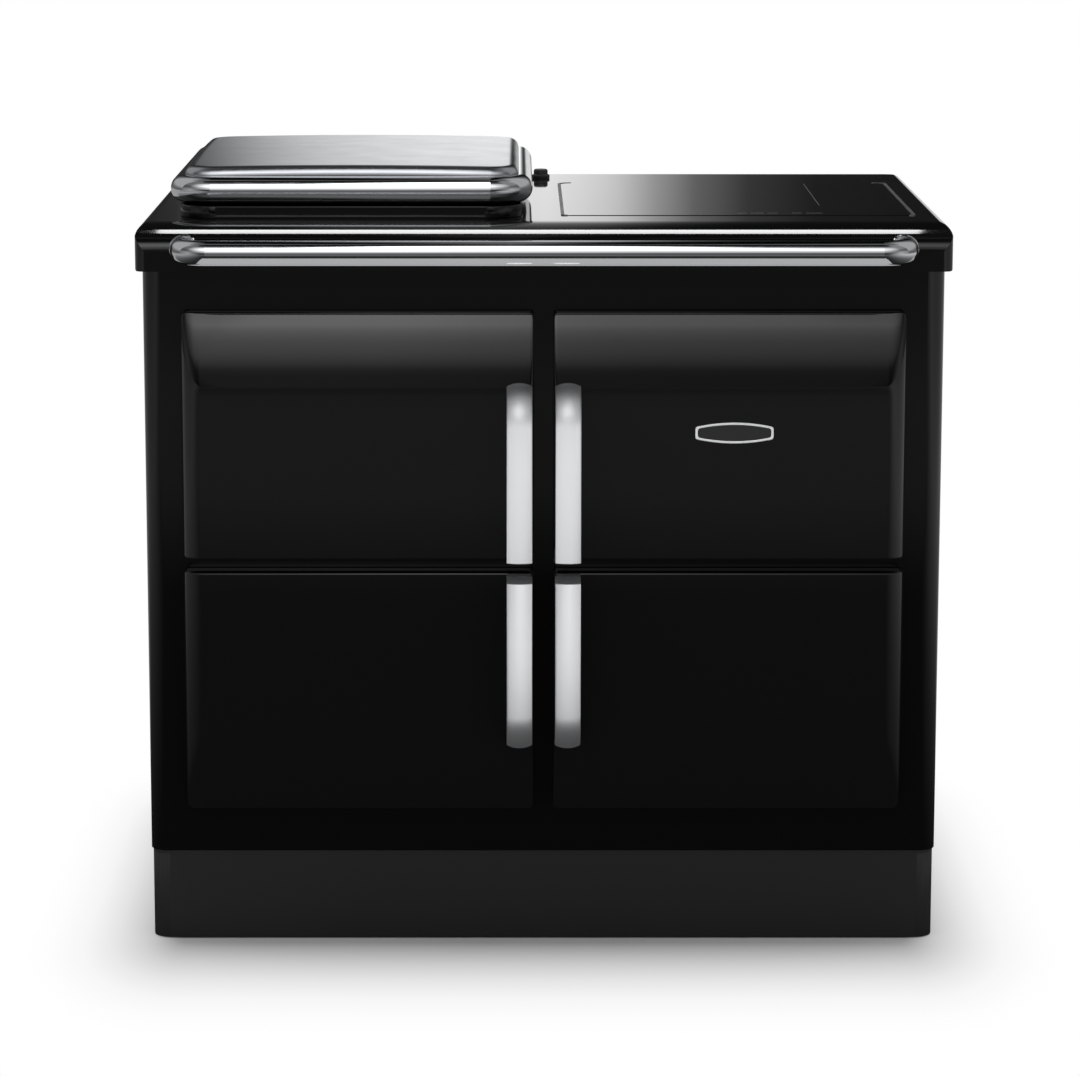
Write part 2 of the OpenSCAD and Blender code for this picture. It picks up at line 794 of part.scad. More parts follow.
module door_casting(side, z, flip) {
  color(enamel) in_door(side, z, flip) difference() {
    union() {
      difference() {
        door_form(0);
        door_form(door_wall);
      }
      intersection() {
        door_form(0);
        union() {
          translate([rib_x, door_wall - eps, door_wall - eps])
            cube([5, door_t, door_h - 2 * door_wall + 2 * eps]);
          for (lug = lug_zs) translate([door_w - 20, door_wall - eps, boss_z(lug, flip)])
            cube([20, door_t, boss_l]);
        }
      }
    }
    for (lug = lug_zs) {
      translate([door_w - 17, door_t - 18, slot_z(lug, flip)]) cube([18, 20, lift + lug_t + 0.5]);
      translate([door_w - pivot_in, pivot_y - door_y, boss_z(lug, flip) - eps])
        cylinder(h = boss_l + 2 * eps, r = bore_r, $fn = 48);
    }
    translate([strap_in, -eps, strap_z]) along_y(strap_seat + eps) strap_ends();
  }
}

// Where the boss over a lug and the slot for the lug start, in the door's frame
function boss_z(lug, flip) = flip ? door_h - lug - lug_t - 0.5 - boss_l : lug + lug_t + 0.5;
function slot_z(lug, flip) = flip ? door_h - lug - lug_t - 0.5 : lug - lift;

liner_t = 6;
liner_gap = 0.2;

// The inner plate, with the plug that fills the mouth and the seal's groove
module door_liner(side, z, flip) {
  edge = door_wall + liner_gap;
  plug = [oven_w - 2 * plug_gap, oven_h - 2 * plug_gap];
  plug_at = [mouth_x - door_x + plug_gap, mouth_up + plug_gap];
  color(alu) in_door(side, z, flip) difference() {
    union() {
      translate([edge, door_t - liner_t, edge]) along_y(liner_t)
        round_rect([rib_x - edge - liner_gap, door_h - 2 * edge], [5, 2, 2, 5]);
      translate([plug_at.x, door_t - eps, plug_at.y]) along_y(plug_d + eps)
        round_rect(plug, [9, 9, 9, 9]);
    }
    translate([plug_at.x + sheet, door_t - liner_t - eps, plug_at.y + sheet])
      along_y(liner_t + plug_d - sheet + eps)
        round_rect(plug - [2 * sheet, 2 * sheet], [6, 6, 6, 6]);
    seal_path() square([2 * seal_r + 0.2, 2 * seal_r + 0.2], center = true);
  }
}

// Carries a section round the mouth, on the back of the liner
module seal_path() {
  translate([mouth_x - door_x + oven_w / 2, door_t - 0.2, door_h / 2]) rotate([90, 0, 0])
    swept_ring(oven_w + 18, oven_h + 18, 16) translate([16 - seal_r, 0]) children();
}

module door_seal(side, z, flip) {
  color("#8a8578") in_door(side, z, flip) seal_path() circle(seal_r, $fn = 24);
}

// What a strap fills across the door: x across it, y behind the door's face.
// The front is crowned.
module strap_plan(y_end) {
  crown_radius = (strap_w * strap_w / 4 + strap_crown * strap_crown) / (2 * strap_crown);
  intersection() {
    translate([0, -strap_out]) square([strap_w, strap_out + y_end]);
    translate([strap_w / 2, crown_radius - strap_out]) circle(crown_radius, $fn = 256);
  }
}

// Where a strap's two ends go into the door, in x and z
module strap_ends() {
  square([strap_w, strap_t]);
  translate([0, strap_l - strap_out]) mirror([0, 1]) strap_plan(strap_t - strap_out);
}

// A crowned strap: square at one end, and bent back in a quarter round at the other
module door_handle(side, z, flip) {
  color(chrome) in_door(side, z, flip) translate([strap_in, 0, strap_z]) {
    linear_extrude(strap_t) strap_plan(0);
    linear_extrude(strap_l - strap_out) strap_plan(strap_t - strap_out);
    translate([strap_w, 0, strap_l - strap_out]) rotate([90, 0, -90])
      rotate_extrude(angle = 90, $fn = 128) rotate(90) strap_plan(strap_t - strap_out);
    along_y(strap_seat) strap_ends();
  }
}

// Lugs through the front plate, each with an upright pin for a door to hang on
module door_hinge_lugs() {
  color(steel) from_front() for (side = [LEFT, RIGHT], z = [upper_z, lower_z], lug = lug_zs)
    on_side(side) translate([pivot_x, pivot_y, z + lug]) {
      cylinder(h = lug_t, r = lug_r, $fn = 48);
      translate([-lug_r, 0, 0]) cube([2 * lug_r, face_y + face_t - pivot_y, lug_t]);
      translate([-18, face_y + face_t - pivot_y, -12]) cube([36, 3, lug_t + 24]);
      translate([0, 0, lug_t - 0.01]) cylinder(h = pin_l, r = pin_r, $fn = 48);
    }
}

module door_catches() {
  color(steel) from_front() for (side = [LEFT, RIGHT], z = [upper_z, lower_z])
    on_side(side) translate([door_x + 1, face_y - 3, z + door_h / 2 - 20]) cube([8, 3, 40]);
}

// ---------------------------------------------------------------- supply

supply_x = 310;
supply_z = 132;

module terminal_box() {
  color(dark) from_front() translate([supply_x - 60, back_y, supply_z]) {
    along_y(28) round_rect([120, 80], [6, 6, 6, 6]);
    translate([4, 28, 4]) along_y(4) round_rect([112, 72], [4, 4, 4, 4]);
  }
}

module cable_gland() {
  color(dark) from_front() translate([supply_x, back_y + 15, supply_z]) mirror([0, 0, 1]) difference() {
    union() {
      cylinder(h = 5, r = 15, $fn = 6);
      translate([0, 0, 5]) cylinder(h = 7, r = 12, $fn = 48);
      translate([0, 0, 12]) cylinder(h = 10, r = 14, $fn = 6);
      translate([0, 0, 22]) cylinder(h = 6, r1 = 12, r2 = 10.5, $fn = 48);
    }
    translate([0, 0, -eps]) cylinder(h = 28 + 2 * eps, r = 7.5, $fn = 48);
  }
}

// ---------------------------------------------------------------- assembly

levelling_feet();
plinth_front();
plinth_sides();
base_tray();
side_panel(LEFT);  // side_panel_left
side_panel(RIGHT);  // side_panel_right
back_panel();
back_screws();
front_plate();
top_plate();
insulation_boards();
oven_elements();
oven(LEFT, upper_z);  // roasting_oven
oven(LEFT, lower_z);  // simmering_oven
oven(RIGHT, lower_z);  // slow_oven
shelf(LEFT, upper_z, 1);  // roasting_shelf
shelf(LEFT, lower_z, 1);  // simmering_shelf
shelf(RIGHT, lower_z, 1);  // slow_shelf
control_compartment();
control_panel();
control_module();
knob(knob_xs[0]);  // knob_1
knob(knob_xs[1]);  // knob_2
knob(knob_xs[2]);  // knob_3
hotplate();
hotplate_element();
hotplate_surround();
glass_hob();
hob_trims();
induction_coils();
coil_tray();
handrail();
rail_collars();
door_hinge_lugs();
door_catches();
lid_hinge_posts();
terminal_box();
cable_gland();
vent_cap();
lid_frame();
lid_panel();
lid_insulation();
lid_liner();
lid_hinge_arms();
door_casting(LEFT, upper_z, false);  // upper_left_casting
door_liner(LEFT, upper_z, false);  // upper_left_liner
door_seal(LEFT, upper_z, false);  // upper_left_seal
door_handle(LEFT, upper_z, false);  // upper_left_handle
door_casting(RIGHT, upper_z, false);  // upper_right_casting
door_liner(RIGHT, upper_z, false);  // upper_right_liner
door_seal(RIGHT, upper_z, false);  // upper_right_seal
door_handle(RIGHT, upper_z, false);  // upper_right_handle
door_casting(LEFT, lower_z, true);  // lower_left_casting
door_liner(LEFT, lower_z, true);  // lower_left_liner
door_seal(LEFT, lower_z, true);  // lower_left_seal
door_handle(LEFT, lower_z, true);  // lower_left_handle
door_casting(RIGHT, lower_z, true);  // lower_right_casting
door_liner(RIGHT, lower_z, true);  // lower_right_liner
door_seal(RIGHT, lower_z, true);  // lower_right_seal
door_handle(RIGHT, lower_z, true);  // lower_right_handle
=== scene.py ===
# %% [markdown]
# # A cast iron range cooker, dressed for its picture
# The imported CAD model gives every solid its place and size. This lesson gives
# the solids their finishes, adds the fine pieces that a maker would form
# by hand or in a small tool, and sets up a plain studio round them.
# Forms and patterns are drawn in millimetres. The floor, the lamps and the
# camera are in metres, as Blender's scene is.

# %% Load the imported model
import bmesh
import bpy
import json
import math
from mathutils import Matrix, Vector


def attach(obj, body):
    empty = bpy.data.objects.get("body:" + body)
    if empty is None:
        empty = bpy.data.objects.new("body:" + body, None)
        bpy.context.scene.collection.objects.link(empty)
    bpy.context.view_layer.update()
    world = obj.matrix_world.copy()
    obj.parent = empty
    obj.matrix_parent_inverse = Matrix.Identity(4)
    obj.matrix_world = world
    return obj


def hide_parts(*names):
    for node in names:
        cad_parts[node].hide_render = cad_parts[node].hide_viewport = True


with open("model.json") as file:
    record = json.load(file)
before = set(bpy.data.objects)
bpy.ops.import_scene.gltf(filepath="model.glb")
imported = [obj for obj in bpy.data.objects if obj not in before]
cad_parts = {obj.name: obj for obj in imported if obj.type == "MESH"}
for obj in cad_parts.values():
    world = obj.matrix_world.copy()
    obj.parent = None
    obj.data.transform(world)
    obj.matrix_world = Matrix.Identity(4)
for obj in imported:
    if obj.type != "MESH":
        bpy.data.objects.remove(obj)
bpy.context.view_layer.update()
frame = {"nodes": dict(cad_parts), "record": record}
nodes = frame["nodes"]
subparts = frame["record"]["subparts"]

# %% [markdown]
# ## Colours and nodes
# A maker writes a colour as sRGB hex, but the shaders work in linear light,
# so one function turns one into the other. Another small function adds a
# shader node, fills in its sockets and joins it to the nodes before it. The
# same trees could be laid out by hand in the node editor, but in code they
# read from top to bottom, and their sizes have names.

# %% Colour and node helpers
MM = 0.001


def linear(hex_colour):
    """An sRGB hex colour as linear red, green, blue and alpha."""
    channels = [int(hex_colour[i:i + 2], 16) / 255 for i in (1, 3, 5)]
    return (*[c / 12.92 if c <= 0.04045 else ((c + 0.055) / 1.055) ** 2.4 for c in channels], 1.0)


def fill(node, inputs):
    """Gives each socket a value, another node's output, or a node, which stands for its first output."""
    for key, value in inputs.items():
        if isinstance(value, bpy.types.Node):
            value = value.outputs[0]
        if isinstance(value, bpy.types.NodeSocket):
            node.id_data.links.new(value, node.inputs[key])
        else:
            node.inputs[key].default_value = value


def add_node(tree, kind, inputs=None, **settings):
    """Adds a node with its settings, and fills its sockets."""
    node = tree.nodes.new(kind)
    for key, value in settings.items():
        setattr(node, key, value)
    fill(node, inputs or {})
    return node


def blank_finish(name, **sockets):
    """A new material: its node tree, its main shader, and places on the object in millimetres."""
    material = bpy.data.materials.new(name)
    material.use_nodes = True
    tree = material.node_tree
    tree.nodes.clear()
    shader = add_node(tree, "ShaderNodeBsdfPrincipled",
                      {key.replace("_", " "): value for key, value in sockets.items()})
    add_node(tree, "ShaderNodeOutputMaterial", {"Surface": shader})
    place = add_node(tree, "ShaderNodeTexCoord").outputs["Object"]
    mm = add_node(tree, "ShaderNodeVectorMath", {0: place, 1: (1 / MM,) * 3}, operation="MULTIPLY")
    return material, tree, shader, mm


print("helpers ready")

# %% [markdown]
# ## Vitreous enamel
# The castings are coated with powdered glass and fired at about 800 degrees,
# so the black is glass on iron: deep, glossy, and never quite flat. The melt
# leaves a long soft ripple a few centimetres across and a finer orange peel.
# A displaced mesh could hold them, but they are only hundredths of a
# millimetre deep, so both go in the bump. A slow cloud in the roughness
# keeps the reflections from looking like plastic.

# %% Gloss black enamel
finishes = {}
ripple_mm, peel_mm, cloud_mm = 38, 2.6, 90


def vitreous_enamel(name, colour):
    """Fired enamel: two sizes of bump, and a cloud in the roughness."""
    material, tree, shader, mm = blank_finish(name, Base_Color=linear(colour), IOR=1.5)
    ripple = add_node(tree, "ShaderNodeTexNoise", {"Vector": mm, "Scale": 1 / ripple_mm, "Detail": 1.0})
    peel = add_node(tree, "ShaderNodeTexNoise", {"Vector": mm, "Scale": 1 / peel_mm, "Detail": 1.0})
    soft = add_node(tree, "ShaderNodeBump", {"Height": ripple, "Strength": 0.25, "Distance": 0.12 * MM})
    fine = add_node(tree, "ShaderNodeBump",
                    {"Height": peel, "Strength": 0.1, "Distance": 0.01 * MM, "Normal": soft})
    cloud = add_node(tree, "ShaderNodeTexNoise", {"Vector": mm, "Scale": 1 / cloud_mm, "Detail": 2.0})
    rough = add_node(tree, "ShaderNodeMapRange", {"Value": cloud, "To Min": 0.03, "To Max": 0.06})
    fill(shader, {"Roughness": rough, "Normal": fine})
    return material


# The body's copy of the enamel is darker than the doors' as painted shade, for the front plate that lies
# recessed behind the doors and under the top plate: a lit and a shaded copy of one enamel.
finishes["vitreous_enamel"] = vitreous_enamel("vitreous_enamel_black", "#080809")
lit_door_enamel = vitreous_enamel("vitreous_enamel_black_on_doors", "#0e0e0f")
print("made", finishes["vitreous_enamel"].name, "and", lit_door_enamel.name)

# %% [markdown]
# ## Satin paint on the plinth
# The plinth is folded sheet with a powder coat. Powder melts into small
# pebbles about a millimetre across, which blur the reflections into a satin.
# Roughness alone would give a satin too, but an even one, so the pebbles are
# drawn as well. Printed and moulded surfaces are of the same sort, each with
# a grain of its own size, so one function serves them all.

# %% Plinth paint
def grained(name, colour, grain_mm, depth_mm, strength=0.4, **sockets):
    """A painted, printed or moulded finish whose grain has a width and a depth in mm."""
    material, tree, shader, mm = blank_finish(name, Base_Color=linear(colour), **sockets)
    grain = add_node(tree, "ShaderNodeTexNoise", {"Vector": mm, "Scale": 1 / grain_mm, "Detail": 2.0})
    bump = add_node(tree, "ShaderNodeBump",
                    {"Height": grain, "Strength": strength, "Distance": depth_mm * MM})
    fill(shader, {"Normal": bump})
    return material


finishes["plinth_paint"] = grained("powder_coat_satin_black", "#242425", grain_mm=1.1, depth_mm=0.08,
                                   strength=0.3, IOR=1.45, Roughness=0.36)
print("made", finishes["plinth_paint"].name)

# %% [markdown]
# ## Plated, polished and bare metals
# Every metal here is a mirror of some sort, and what sets one apart from the
# next is its tint and how the polish scatters light. A material could be
# drawn for each, but one function can take the tint, the range of roughness
# and the size of the marks. Marks run along an axis where a wheel or a
# roller made them, and the metals keep the shader's own IOR.

# %% Metals
patches_mm = 60         # handled metal varies over about a palm's width


def metal(name, tint, rough, marks_mm, depth_mm, stretch=(1, 1, 1)):
    """A bare or plated metal with marks of a size in mm, drawn out along an axis by stretch."""
    material, tree, shader, mm = blank_finish(name, Base_Color=linear(tint), Metallic=1.0)
    drawn = add_node(tree, "ShaderNodeVectorMath", {0: mm, 1: [1 / s for s in stretch]},
                     operation="MULTIPLY")
    marks = add_node(tree, "ShaderNodeTexNoise", {"Vector": drawn, "Scale": 1 / marks_mm, "Detail": 3.0})
    patches = add_node(tree, "ShaderNodeTexNoise", {"Vector": mm, "Scale": 1 / patches_mm, "Detail": 2.0})
    both = add_node(tree, "ShaderNodeMath", {0: marks, 1: patches}, operation="ADD")
    band = add_node(tree, "ShaderNodeMapRange", {"Value": both, "From Min": 0.6, "From Max": 1.4,
                                                 "To Min": rough[0], "To Max": rough[1]})
    bump = add_node(tree, "ShaderNodeBump", {"Height": marks, "Strength": 0.5, "Distance": depth_mm * MM})
    fill(shader, {"Roughness": band, "Normal": bump})
    return material


# Each metal: its tint, its roughness from and to, and the width and depth of its marks in mm.
finishes["chrome_plate"] = metal("chrome_plate_bright", "#dcdde0", (0.04, 0.09), 14, 0.004)
satin_chrome = metal("chrome_plate_satin", "#dfe0e2", (0.46, 0.5), 14, 0.003)
finishes["cast_iron"] = metal("cast_iron_as_cast", "#4b4a49", (0.5, 0.72), 1.6, 0.25)
finishes["aluminium"] = metal("aluminium_die_cast", "#a9abae", (0.34, 0.5), 2.2, 0.05)
finishes["shelf_wire"] = metal("nickel_plated_wire", "#b9b8b4", (0.16, 0.28), 3, 0.01)
finishes["dark_steel"] = metal("steel_blackened", "#3a3a3d", (0.32, 0.5), 2, 0.04)
finishes["copper"] = metal("copper_wire", "#b8674a", (0.2, 0.34), 2, 0.02)
finishes["sheathed_element"] = metal("nickel_alloy_sheath_heat_tinted", "#6d625c", (0.35, 0.55), 6, 0.03)
# A pixel of the picture covers 1.2 mm. The lines that polishing and turning leave, and the etched
# grain under anodising, are about 0.1 mm wide, so these three are drawn coarser than they are.
finishes["polished_steel"] = metal("stainless_steel_polished", "#b4b6bb", (0.2, 0.26), 1.2, 0.003,
                                   stretch=(40, 1, 1))
finishes["knob_metal"] = metal("aluminium_turned", "#c2c3c6", (0.18, 0.3), 0.5, 0.006, stretch=(1, 30, 1))
trim_finish = metal("aluminium_anodised_satin", "#9fa1a4", (0.4, 0.5), 3, 0.01)
print(len(finishes), "finishes so far")

# %% [markdown]
# ## Galvanised sheet
# Molten zinc freezes on the sheet in flat crystals, the spangle, and each one
# turns the light its own way. Noise has no edges between its patches, so
# Voronoi cells are the crystals: each takes its own shade and its own
# roughness.

# %% Galvanised steel
spangle_mm = 9


def galvanised():
    """Zinc-coated sheet with its crystals."""
    material, tree, shader, mm = blank_finish("galvanised_sheet_spangled", Metallic=1.0)
    cells = add_node(tree, "ShaderNodeTexVoronoi", {"Vector": mm, "Scale": 1 / spangle_mm}).outputs["Color"]
    shade = add_node(tree, "ShaderNodeValToRGB", {0: cells})
    shade.color_ramp.elements[0].color = linear("#8d9194")
    shade.color_ramp.elements[1].color = linear("#aeb2b5")
    rough = add_node(tree, "ShaderNodeMapRange", {"Value": cells, "To Min": 0.36, "To Max": 0.56})
    fill(shader, {"Base Color": shade, "Roughness": rough})
    return material


finishes["galvanised_steel"] = galvanised()
print("made", finishes["galvanised_steel"].name)

# %% [markdown]
# ## Glass and moulded plastic
# The hob is a sheet of black glass ceramic, smooth on top, and only the
# wipe marks of a cloth vary its gloss. It could be clear glass over a black
# sheet, but its body is dark all through, so a black gloss is truer. The
# control housing is moulded nylon, which takes a fine spark texture from its
# mould.

# %% Hob glass and moulded plastic
wipe_mm = 70


def ceramic_glass():
    """Black glass with wipe marks in its gloss."""
    material, tree, shader, mm = blank_finish("glass_ceramic_black", Base_Color=linear("#060607"), IOR=1.5)
    wipe = add_node(tree, "ShaderNodeTexNoise", {"Vector": mm, "Scale": 1 / wipe_mm, "Detail": 3.0})
    rough = add_node(tree, "ShaderNodeMapRange", {"Value": wipe, "To Min": 0.03, "To Max": 0.07})
    fill(shader, {"Roughness": rough})
    return material


finishes["hob_glass"] = ceramic_glass()
# The real spark texture is about 0.1 mm wide. It is drawn coarser, so that it shows from close by.
finishes["black_plastic"] = grained("nylon_moulded_black", "#1d1d1f", grain_mm=0.7, depth_mm=0.05, IOR=1.53,
                                    Roughness=0.45)
print("made", finishes["hob_glass"].name, "and", finishes["black_plastic"].name)

# %% [markdown]
# ## Door rope
# The seal round each oven's door is a braided glass fibre rope, pale and dull.
# Real strands would be thousands of curves for a line a few millimetres
# wide, so a slanting wave, a little distorted, stands for the braid in both
# the colour and the bump.

# %% Braided rope
braid_mm = 3.2          # a diagonal wave of scale 0.3 / width repeats every 1.2 widths


def braided_rope():
    """Glass fibre rope with its slanting strands."""
    material, tree, shader, mm = blank_finish("glass_fibre_rope", Roughness=0.85, Sheen_Weight=0.2)
    strands = add_node(tree, "ShaderNodeTexWave", {"Vector": mm, "Scale": 0.3 / braid_mm, "Distortion": 1.5,
                                                   "Detail": 2.0}, bands_direction="DIAGONAL").outputs[1]
    shade = add_node(tree, "ShaderNodeValToRGB", {0: strands})
    shade.color_ramp.elements[0].color = linear("#6d675c")
    shade.color_ramp.elements[1].color = linear("#a9a292")
    bump = add_node(tree, "ShaderNodeBump", {"Height": strands, "Strength": 0.8, "Distance": 0.6 * MM})
    fill(shader, {"Base Color": shade, "Normal": bump})
    return material


finishes["seal_rope"] = braided_rope()
print("made", finishes["seal_rope"].name)

# %% [markdown]
# ## Mineral wool
# The slabs round the ovens are mineral wool, which is all fibre and no shine.
# Its fibres lie mostly flat in the slab. Hair on the surface would be slow
# and is never seen closely here, so a noise that is pressed flat draws them.

# %% Mineral wool slabs
fibre_mm = 4            # real fibres are far too thin to show, so tufts of them are drawn


def mineral_wool():
    """Wool slab with flat tufts."""
    material, tree, shader, mm = blank_finish("mineral_wool_slab", Roughness=0.95)
    flat = add_node(tree, "ShaderNodeVectorMath", {0: mm, 1: (0.3, 0.3, 1)}, operation="MULTIPLY")
    fibres = add_node(tree, "ShaderNodeTexNoise", {"Vector": flat, "Scale": 1 / fibre_mm, "Detail": 6.0})
    shade = add_node(tree, "ShaderNodeValToRGB", {0: fibres})
    shade.color_ramp.elements[0].color = linear("#7d6f4a")
    shade.color_ramp.elements[1].color = linear("#b9aa7c")
    bump = add_node(tree, "ShaderNodeBump", {"Height": fibres, "Distance": 1.5 * MM})
    fill(shader, {"Base Color": shade, "Normal": bump})
    return material


finishes["mineral_wool_slab"] = mineral_wool()
print(len(finishes), "finishes")

# %% [markdown]
# ## Dress the CAD solids
# The record names a material slot for each solid, so the finishes are handed
# out by slot. Two kinds of piece share a slot with others but look different
# in the photograph: the strap handles are softer than the chrome rail, and
# the hob's trims are anodised. They get a finish of their own by name.
# Nothing is moved.

# %% Hand out the finishes
handle_nodes = [part["node"] for part in subparts if part["node"].endswith("_handle")]
own_finish = {**dict.fromkeys(handle_nodes, satin_chrome), "hob_trims": trim_finish}
for part in subparts:
    mesh = nodes[part["node"]].data
    mesh.materials.clear()
    mesh.materials.append(own_finish.get(part["node"], finishes[part["material_slot"]]))
print("dressed", len(subparts), "solids")

# %% [markdown]
# ## Broken edges
# No edge of a real part is a knife: a folded sheet, a casting and a turned
# knob all have a small round. The CAD solids keep their exact form, and a
# bevel modifier breaks the edges that a hand or a highlight would find. A
# weld goes first, because the solids come in with points that lie on each
# other, which a bevel would leave open.

# %% Broken edges
broken_mm = {"plinth_front": 0.8, "plinth_sides": 0.8, "vent_cap": 0.5, "hotplate_surround": 0.8,
             **dict.fromkeys(("knob_1", "knob_2", "knob_3"), 0.35), **dict.fromkeys(handle_nodes, 0.6)}
weld_mm, sharp_degrees = 0.02, 40
for name, width in broken_mm.items():
    weld = nodes[name].modifiers.new("weld", "WELD")
    weld.merge_threshold = weld_mm * MM
    bevel = nodes[name].modifiers.new("bevel", "BEVEL")
    bevel.width, bevel.segments, bevel.limit_method = width * MM, 2, "ANGLE"
    bevel.angle_limit, bevel.harden_normals = math.radians(sharp_degrees), True
print("broke the edges of", len(broken_mm), "solids")

# %% [markdown]
# ## Forms with a fine grid
# The crowned castings and the lid are surfaces that curve two ways. They
# could be sculpted, or smoothed from a coarse cage, but both would miss the
# true radii. So they are drawn on a grid: a flat outline with rounded
# corners, and at each point of it a depth. Near a corner the square cells
# are squeezed into a quarter disc, so that the grid's own edge is the rounded
# outline. The distance to that outline then gives the rounding of the edge.

# %% Grid forms
def edge_drop(reach, radius):
    """How far a rounded edge falls away at a distance from the outline."""
    return radius - math.sqrt(radius ** 2 - (radius - reach) ** 2) if reach < radius else 0.0


def rounded_grid(us, vs, radii):
    """Grid points (u, v, distance to the outline). radii: low v (low u, high u), then high v."""
    wide, tall = us[-1], vs[-1]
    points = []
    for v in vs:
        for u in us:
            r = radii[v > tall / 2][u > wide / 2]
            in_u, in_v = min(u, wide - u), min(v, tall - v)
            reach = min(in_u, in_v)
            if max(in_u, in_v) < r:
                a, b = 1 - in_u / r, 1 - in_v / r
                a, b = a * math.sqrt(1 - b * b / 2), b * math.sqrt(1 - a * a / 2)
                in_u, in_v, reach = r * (1 - a), r * (1 - b), max(r * (1 - math.hypot(a, b)), 0.0)
            points.append((wide - in_u if u > wide / 2 else in_u,
                           tall - in_v if v > tall / 2 else in_v, reach))
    return points


def lines(low_end, middle, high_end, length):
    """Grid lines along one side, close together at both ends."""
    return sorted({round(c, 4) for c in (*low_end, *middle, *[length - c for c in high_end])})


print("grid tools ready")

# %% [markdown]
# ## A closed form
# A piece has to be a closed solid, like the real one, for its weight and its
# export as well as its looks. A solidify modifier would give the grid a
# thickness, but here the back is flat. So the outermost points are walked
# round once, copied straight back to a plane, and joined to it by walls.

# %% Closed grid forms
def grid_form(us, vs, radii, depth, back):
    """A closed form: the grid at its depths, walls round the outline, and a flat back."""
    form = bmesh.new()
    grid = [form.verts.new((u, depth(u, v, reach), v)) for u, v, reach in rounded_grid(us, vs, radii)]
    n, m = len(us), len(vs)
    for k in range(m - 1):
        for i in range(n - 1):
            corners = (k * n + i, k * n + i + 1, (k + 1) * n + i + 1, (k + 1) * n + i)
            form.faces.new([grid[j] for j in corners])
    loop = [grid[i] for i in range(n)] + [grid[k * n + n - 1] for k in range(1, m)]
    loop += [grid[(m - 1) * n + i] for i in range(n - 2, -1, -1)] + [grid[k * n] for k in range(m - 2, 0, -1)]
    rim = [form.verts.new((v.co.x, back, v.co.z)) for v in loop]
    for i, corner in enumerate(loop):
        j = (i + 1) % len(loop)
        form.faces.new((loop[j], corner, rim[i], rim[j]))
    form.faces.new(rim)
    bmesh.ops.recalc_face_normals(form, faces=form.faces)
    return form


print("closed forms ready")

# %% [markdown]
# ## Boxes, rods and rings
# Small forms and the tools that cut them need only flat faces and circles.
# Blender's own cube and cylinder could be scaled into place, but then each
# piece would carry its own scale. Drawn from their real corners, radii and
# sections, they are right from the start.

# %% Plain forms
def box_forms(boxes):
    """A form of separate boxes, each given by two opposite corners."""
    form = bmesh.new()
    for low, high in boxes:
        made = bmesh.ops.create_cube(form, size=1.0)["verts"]
        for v in made:
            v.co = Vector([(a + b) / 2 + c * (b - a) for a, b, c in zip(low, high, v.co)])
    return form


def rod_forms(rods, sides=32):
    """A form of separate upright rods, each given by its low end, radius and length."""
    form = bmesh.new()
    for (x, y, z), radius, length in rods:
        ends = [[form.verts.new((x + radius * math.cos(t), y + radius * math.sin(t), z + up))
                 for t in [2 * math.pi * k / sides for k in range(sides)]] for up in (0, length)]
        for k in range(sides):
            form.faces.new((ends[0][k], ends[0][(k + 1) % sides], ends[1][(k + 1) % sides], ends[1][k]))
        form.faces.new(ends[1])
        form.faces.new(ends[0][::-1])
    return form


def ring_form(loops, joined=True):
    """A closed form through loops of points, each with a depth: a ring, or faced at both ends."""
    form = bmesh.new()
    rings = [[form.verts.new((x, depth, z)) for x, z in points] for points, depth in loops]
    for one, other in zip(rings, rings[1:] + rings[:1] if joined else rings[1:]):
        for i in range(len(one)):
            j = (i + 1) % len(one)
            form.faces.new((one[i], one[j], other[j], other[i]))
    if not joined:
        form.faces.new(rings[0])
        form.faces.new(rings[-1])
    return form


print("plain forms ready")

# %% [markdown]
# ## From a form to a piece
# A form is drawn lying at its own origin. To become a piece it is turned to
# its place, scaled to metres and shaded smooth, with its sharp edges kept.
# Holes are cut with an exact boolean, and the result is kept as a plain
# mesh, because a live modifier would have to be worked out again at every
# pose. Then the piece gets its finish and the body that it rides on, and the
# CAD solids that it stands for are hidden.

# %% Place, carve and give
FRONT = -285.0          # Y of the top plate's front edge, 285 mm in front of the origin


def place_form(name, form, matrix, smooth_to=35):
    """Puts a form drawn in mm into the scene. Edges sharper than smooth_to degrees stay crisp."""
    form.transform(Matrix.Scale(MM, 4) @ matrix)
    bmesh.ops.recalc_face_normals(form, faces=form.faces)
    mesh = bpy.data.meshes.new(name)
    form.to_mesh(mesh)
    form.free()
    mesh.shade_smooth()
    mesh.set_sharp_from_angle(angle=math.radians(smooth_to))
    piece = bpy.data.objects.new(name, mesh)
    bpy.context.scene.collection.objects.link(piece)
    return piece


def carve(piece, tools, smooth_to=35):
    """Cuts tools out of a piece for good, and takes the tools away."""
    for tool in tools:
        cut = piece.modifiers.new(tool.name, "BOOLEAN")
        cut.object, cut.solver, cut.operation = tool, "EXACT", "DIFFERENCE"
    graph = bpy.context.evaluated_depsgraph_get()
    mesh = bpy.data.meshes.new_from_object(piece.evaluated_get(graph))
    mesh.set_sharp_from_angle(angle=math.radians(smooth_to))
    piece.modifiers.clear()
    piece.data = mesh
    for tool in tools:
        bpy.data.objects.remove(tool)


def give(piece, finish, body, slot, *stands_for):
    """Finish and body of a new piece, and the CAD nodes that it stands for, which it hides. The slot is not
    used.
    """
    piece.data.materials.clear()
    piece.data.materials.append(finish)
    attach(piece, body)
    if stands_for:
        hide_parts(*stands_for)


print("piece tools ready")

# %% [markdown]
# ## The door castings
# Seen from the front a door is a plain rectangle, but its face is crowned: it
# falls back in a wide arc over its last 100 mm, and in a tighter roll at its
# outer side. In the casting the two run into each other without a crease,
# which neither a bevel nor a box cut by two cylinders can give. Adding the
# two depths as the sides of a right angle does. The grid lines lie close
# together only where the face bends.

